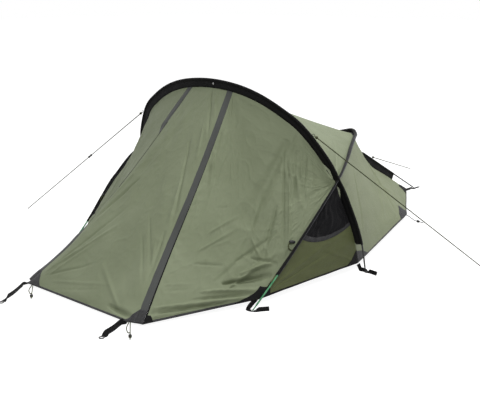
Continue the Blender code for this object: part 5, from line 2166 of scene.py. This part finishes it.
def drill(piece: Piece, centre: Points, radius: float) -> None:
    """Cut an upright round hole through a piece.

    Args:
        piece: the piece.
        centre: middle of the hole.
        radius: its radius.
    """
    bpy.ops.mesh.primitive_cylinder_add(vertices=20, radius=radius, depth=0.05, location=place(centre))
    tool = bpy.context.object
    cut = piece.modifiers.new("eyelet", "BOOLEAN")
    cut.object = tool
    cut.operation = "DIFFERENCE"
    cut.solver = "EXACT"
    graph = bpy.context.evaluated_depsgraph_get()
    made = bpy.data.meshes.new_from_object(piece.evaluated_get(graph))
    piece.modifiers.clear()
    piece.data = made
    bpy.data.objects.remove(tool)


@dataclass
class ZipSliders(Assembly):
    """Zip sliders at the foot of each strip, with flat pull tabs."""

    size: tuple = (0.016, 0.007, 0.004)
    tab: tuple = (0.034, 0.006, 0.0018)
    up_strip: float = 0.045
    narrowing: float = 0.28
    lift: float = 0.0012

    def build(self) -> None:
        """Make both sliders: a waisted block and a tapered tab, each a rounded outline along a line."""
        share = np.linspace(-1.0, 1.0, 15)
        waist = 1.0 - self.narrowing * (1 - share**2)
        crown = np.sqrt(np.clip(1.02 - share**4, 0.02, 1.0))
        taper = 1.0 - self.narrowing + self.narrowing * np.clip(-share + 0.2, -1, 1)
        length, _, height = self.size
        for side in Side:
            inner, outer = LINES.strip_edges(side, 7)
            middle = (inner + outer) / 2
            up, lie = unit(middle[0] - middle[-1]), unit(middle[-2] - middle[-1])
            wide = outer[-1] - inner[-1] + outer[0] - inner[0]
            normal, tab_normal = self.normal(up, wide), self.normal(lie, wide)
            seat = middle[-1] + lie * self.up_strip + normal * (self.lift + height / 2)
            path = seat + up * (share * length / 2)[:, None]
            sizes = np.stack((waist, crown), axis=-1)
            body = skin(f"zip_slider_body_{side}",
                        swept(path, normal, self.outline(self.size, 0.6, sizes)))
            self.dress(body, Slot.BLACK_PLASTIC, f"slider_{side}", [f"zip_slider_{side}"])
            centre = (seat - lie * (self.tab[0] / 2 + length / 4)
                      + tab_normal * (height - self.tab[2]) / 2.2)
            path = centre + lie * (share * self.tab[0] / 2)[:, None]
            sizes = np.stack((taper, np.full(15, 0.95)), axis=-1)
            tab = skin(f"zip_tab_{side}", swept(path, tab_normal, self.outline(self.tab, 0.5, sizes)))
            self.dress(tab, Slot.BLACK_PLASTIC, f"slider_{side}")

    @staticmethod
    def outline(size: Sequence[float], power: float, factors: Points) -> Points:
        """Superellipse of a part's width and height, one for each ring.

        Args:
            size: length, width and height of the part.
            power: power of the sine and cosine; smaller is squarer.
            factors: factors on the width and the height, for each ring.

        Returns:
            A profile for each ring.
        """
        bend = circle(16)
        bend = np.sign(bend) * np.abs(bend) ** power
        return (bend * (size[1] / 2, size[2] / 2))[None] * factors[:, None]

    @staticmethod
    def normal(up: Points, wide: Points) -> Points:
        """Direction out of the tent, square to up and to the part of wide that is across it."""
        normal = np.cross(up, unit(wide - up * np.dot(up, wide)))
        return normal * np.sign(-normal[0])


# ---- inner tent


@dataclass
class InnerTent(Assembly):
    """Inner tent on its floor, hung from the flysheet."""

    sections: tuple = ((0.64, 0.56, 0.50), (0.96, 0.61, 0.80), (1.40, 0.58, 0.70), (2.00, 0.41, 0.47),
                       (2.33, 0.31, 0.29), (2.66, 0.17, 0.15))
    arch: tuple = ((1.0, 0.0), (0.96, 0.33), (0.72, 0.74), (0.30, 0.96), (0.0, 1.0))
    rim: float = 0.070
    shoulder: float = 0.24
    shoulder_from: float = 1.7
    shoulder_run: float = 0.5
    shoulder_power: float = 0.8
    cap_steps: tuple = (0.3, 0.6, 0.85, 0.985)
    outward_steps: tuple = (0.02, 0.2, 0.4, 0.6, 0.8, 0.96, 1.0)
    upward_steps: tuple = (0.35, 0.7, 1.0)
    cloth: float = 0.0015
    floor: float = 0.0016
    hanger_band: tuple = (0.016, 0.0016)
    hangers: tuple = (("front", 0.03), ("rear", 0.96))

    def build(self) -> None:
        """Make the shell, the floor and the hangers."""
        self.build_shell()
        self.build_floor()
        self.build_hangers()

    def build_shell(self) -> None:
        """Arched shell: one arch scaled by width and height along its length, closed at the tail."""
        right = np.array([(0.0, out, up) for out, up in self.arch])
        loop = evenly(smooth_curve(np.vstack((mirrored(right[:-1], -1), right[::-1])), 8), 61)
        loop[:, 2] = np.clip(loop[:, 2], 0.0, 1.0)
        spine = evenly(smooth_curve(self.sections, 16), 90)
        back, half, rise = spine[:, :1], spine[:, 1:2], spine[:, 2:] - self.rim
        out, up = loop[None, :, 1], loop[None, :, 2]
        narrow = self.shoulder * smooth_step((back - self.shoulder_from) / self.shoulder_run)
        narrow = narrow * np.sin(math.pi * up ** self.shoulder_power)
        grid = np.stack((np.broadcast_to(back, (90, 61)), half * out * (1 - narrow),
                         self.rim + 0.0004 + rise * up), axis=-1)
        centre = grid[-1].mean(axis=0)
        cap = np.array([grid[-1] + (centre - grid[-1]) * share for share in self.cap_steps])
        sheet = Sheet("inner_tent_cloth", np.concatenate((grid, cap)))
        piece = self.dress(sheet.make(self.cloth), Slot.INNER_CLOTH, nodes=["inner_tent"])
        self.declare(piece, sheet, "hung", ["groundsheet", "hanger_front"])

    def build_floor(self) -> None:
        """Floor with an upright rim: rows run from the middle to the outline and up the rim."""
        plan = np.array([(back, half) for back, half, _ in self.sections])
        outline = np.vstack((plan * (1, -1), plan[::-1]))
        outline = np.column_stack((outline, np.zeros(len(outline))))
        outline = evenly(np.vstack((outline, outline[:1])), 181)[:-1]
        pull = 1 - self.floor / np.maximum(np.linalg.norm(outline - CORE, axis=1), 0.1)
        layers = []
        narrowed = CORE + (outline - CORE) * pull[:, None]
        for edge, lift, low in ((outline, 0.0, 0.02), (narrowed, self.floor, 0.05)):
            outwards = np.array(self.outward_steps)[:, None, None]
            upwards = np.array((low, *self.upward_steps))[:, None, None]
            layers.append(np.concatenate((CORE + (edge - CORE)[None] * outwards + lift * UP,
                                          edge[None] + upwards * self.rim * UP)))
        rings = np.concatenate((layers[0], layers[1][::-1]))
        piece = self.dress(skin("groundsheet_cloth", rings), Slot.FLOOR_CLOTH, nodes=["groundsheet"])

    def build_hangers(self) -> None:
        """Tapes between the ridge and the inner tent."""
        front = LINES.main_seam(0.0)[0]
        rear = LINES.rear_seam(0.0)[0]
        backs, _, heights = zip(*self.sections)
        for label, share in self.hangers:
            middle = front * (1 - share) + rear * share
            low = float(np.interp(middle[0], backs, heights)) + 0.0008
            path = straight((middle[0], 0.0, middle[2] - 0.004), (middle[0], 0.0, low), 24)
            rings = swept(path, np.array((0.0, 1.0, 0.0)), band_profile(*self.hanger_band))
            self.dress(skin(f"hanger_tape_{label}", rings), Slot.GREY_TAPE, nodes=[f"hanger_{label}"])


# ---- main


def save_sizes() -> None:
    """Update the view layer."""
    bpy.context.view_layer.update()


def main() -> None:
    """Build the studio, then each sub-assembly."""
    logging.basicConfig(level=logging.INFO, format="%(name)s: %(message)s")
    Studio().build()
    finishes = Finishes()
    for assembly in (Guylines, CornerCords, Flysheet, Poles, Sleeves, Straps, ZipSliders, InnerTent):
        LOG.info("building %s", assembly.__name__)
        assembly(finishes).build()
    save_sizes()


if __name__ == "__main__":
    main()
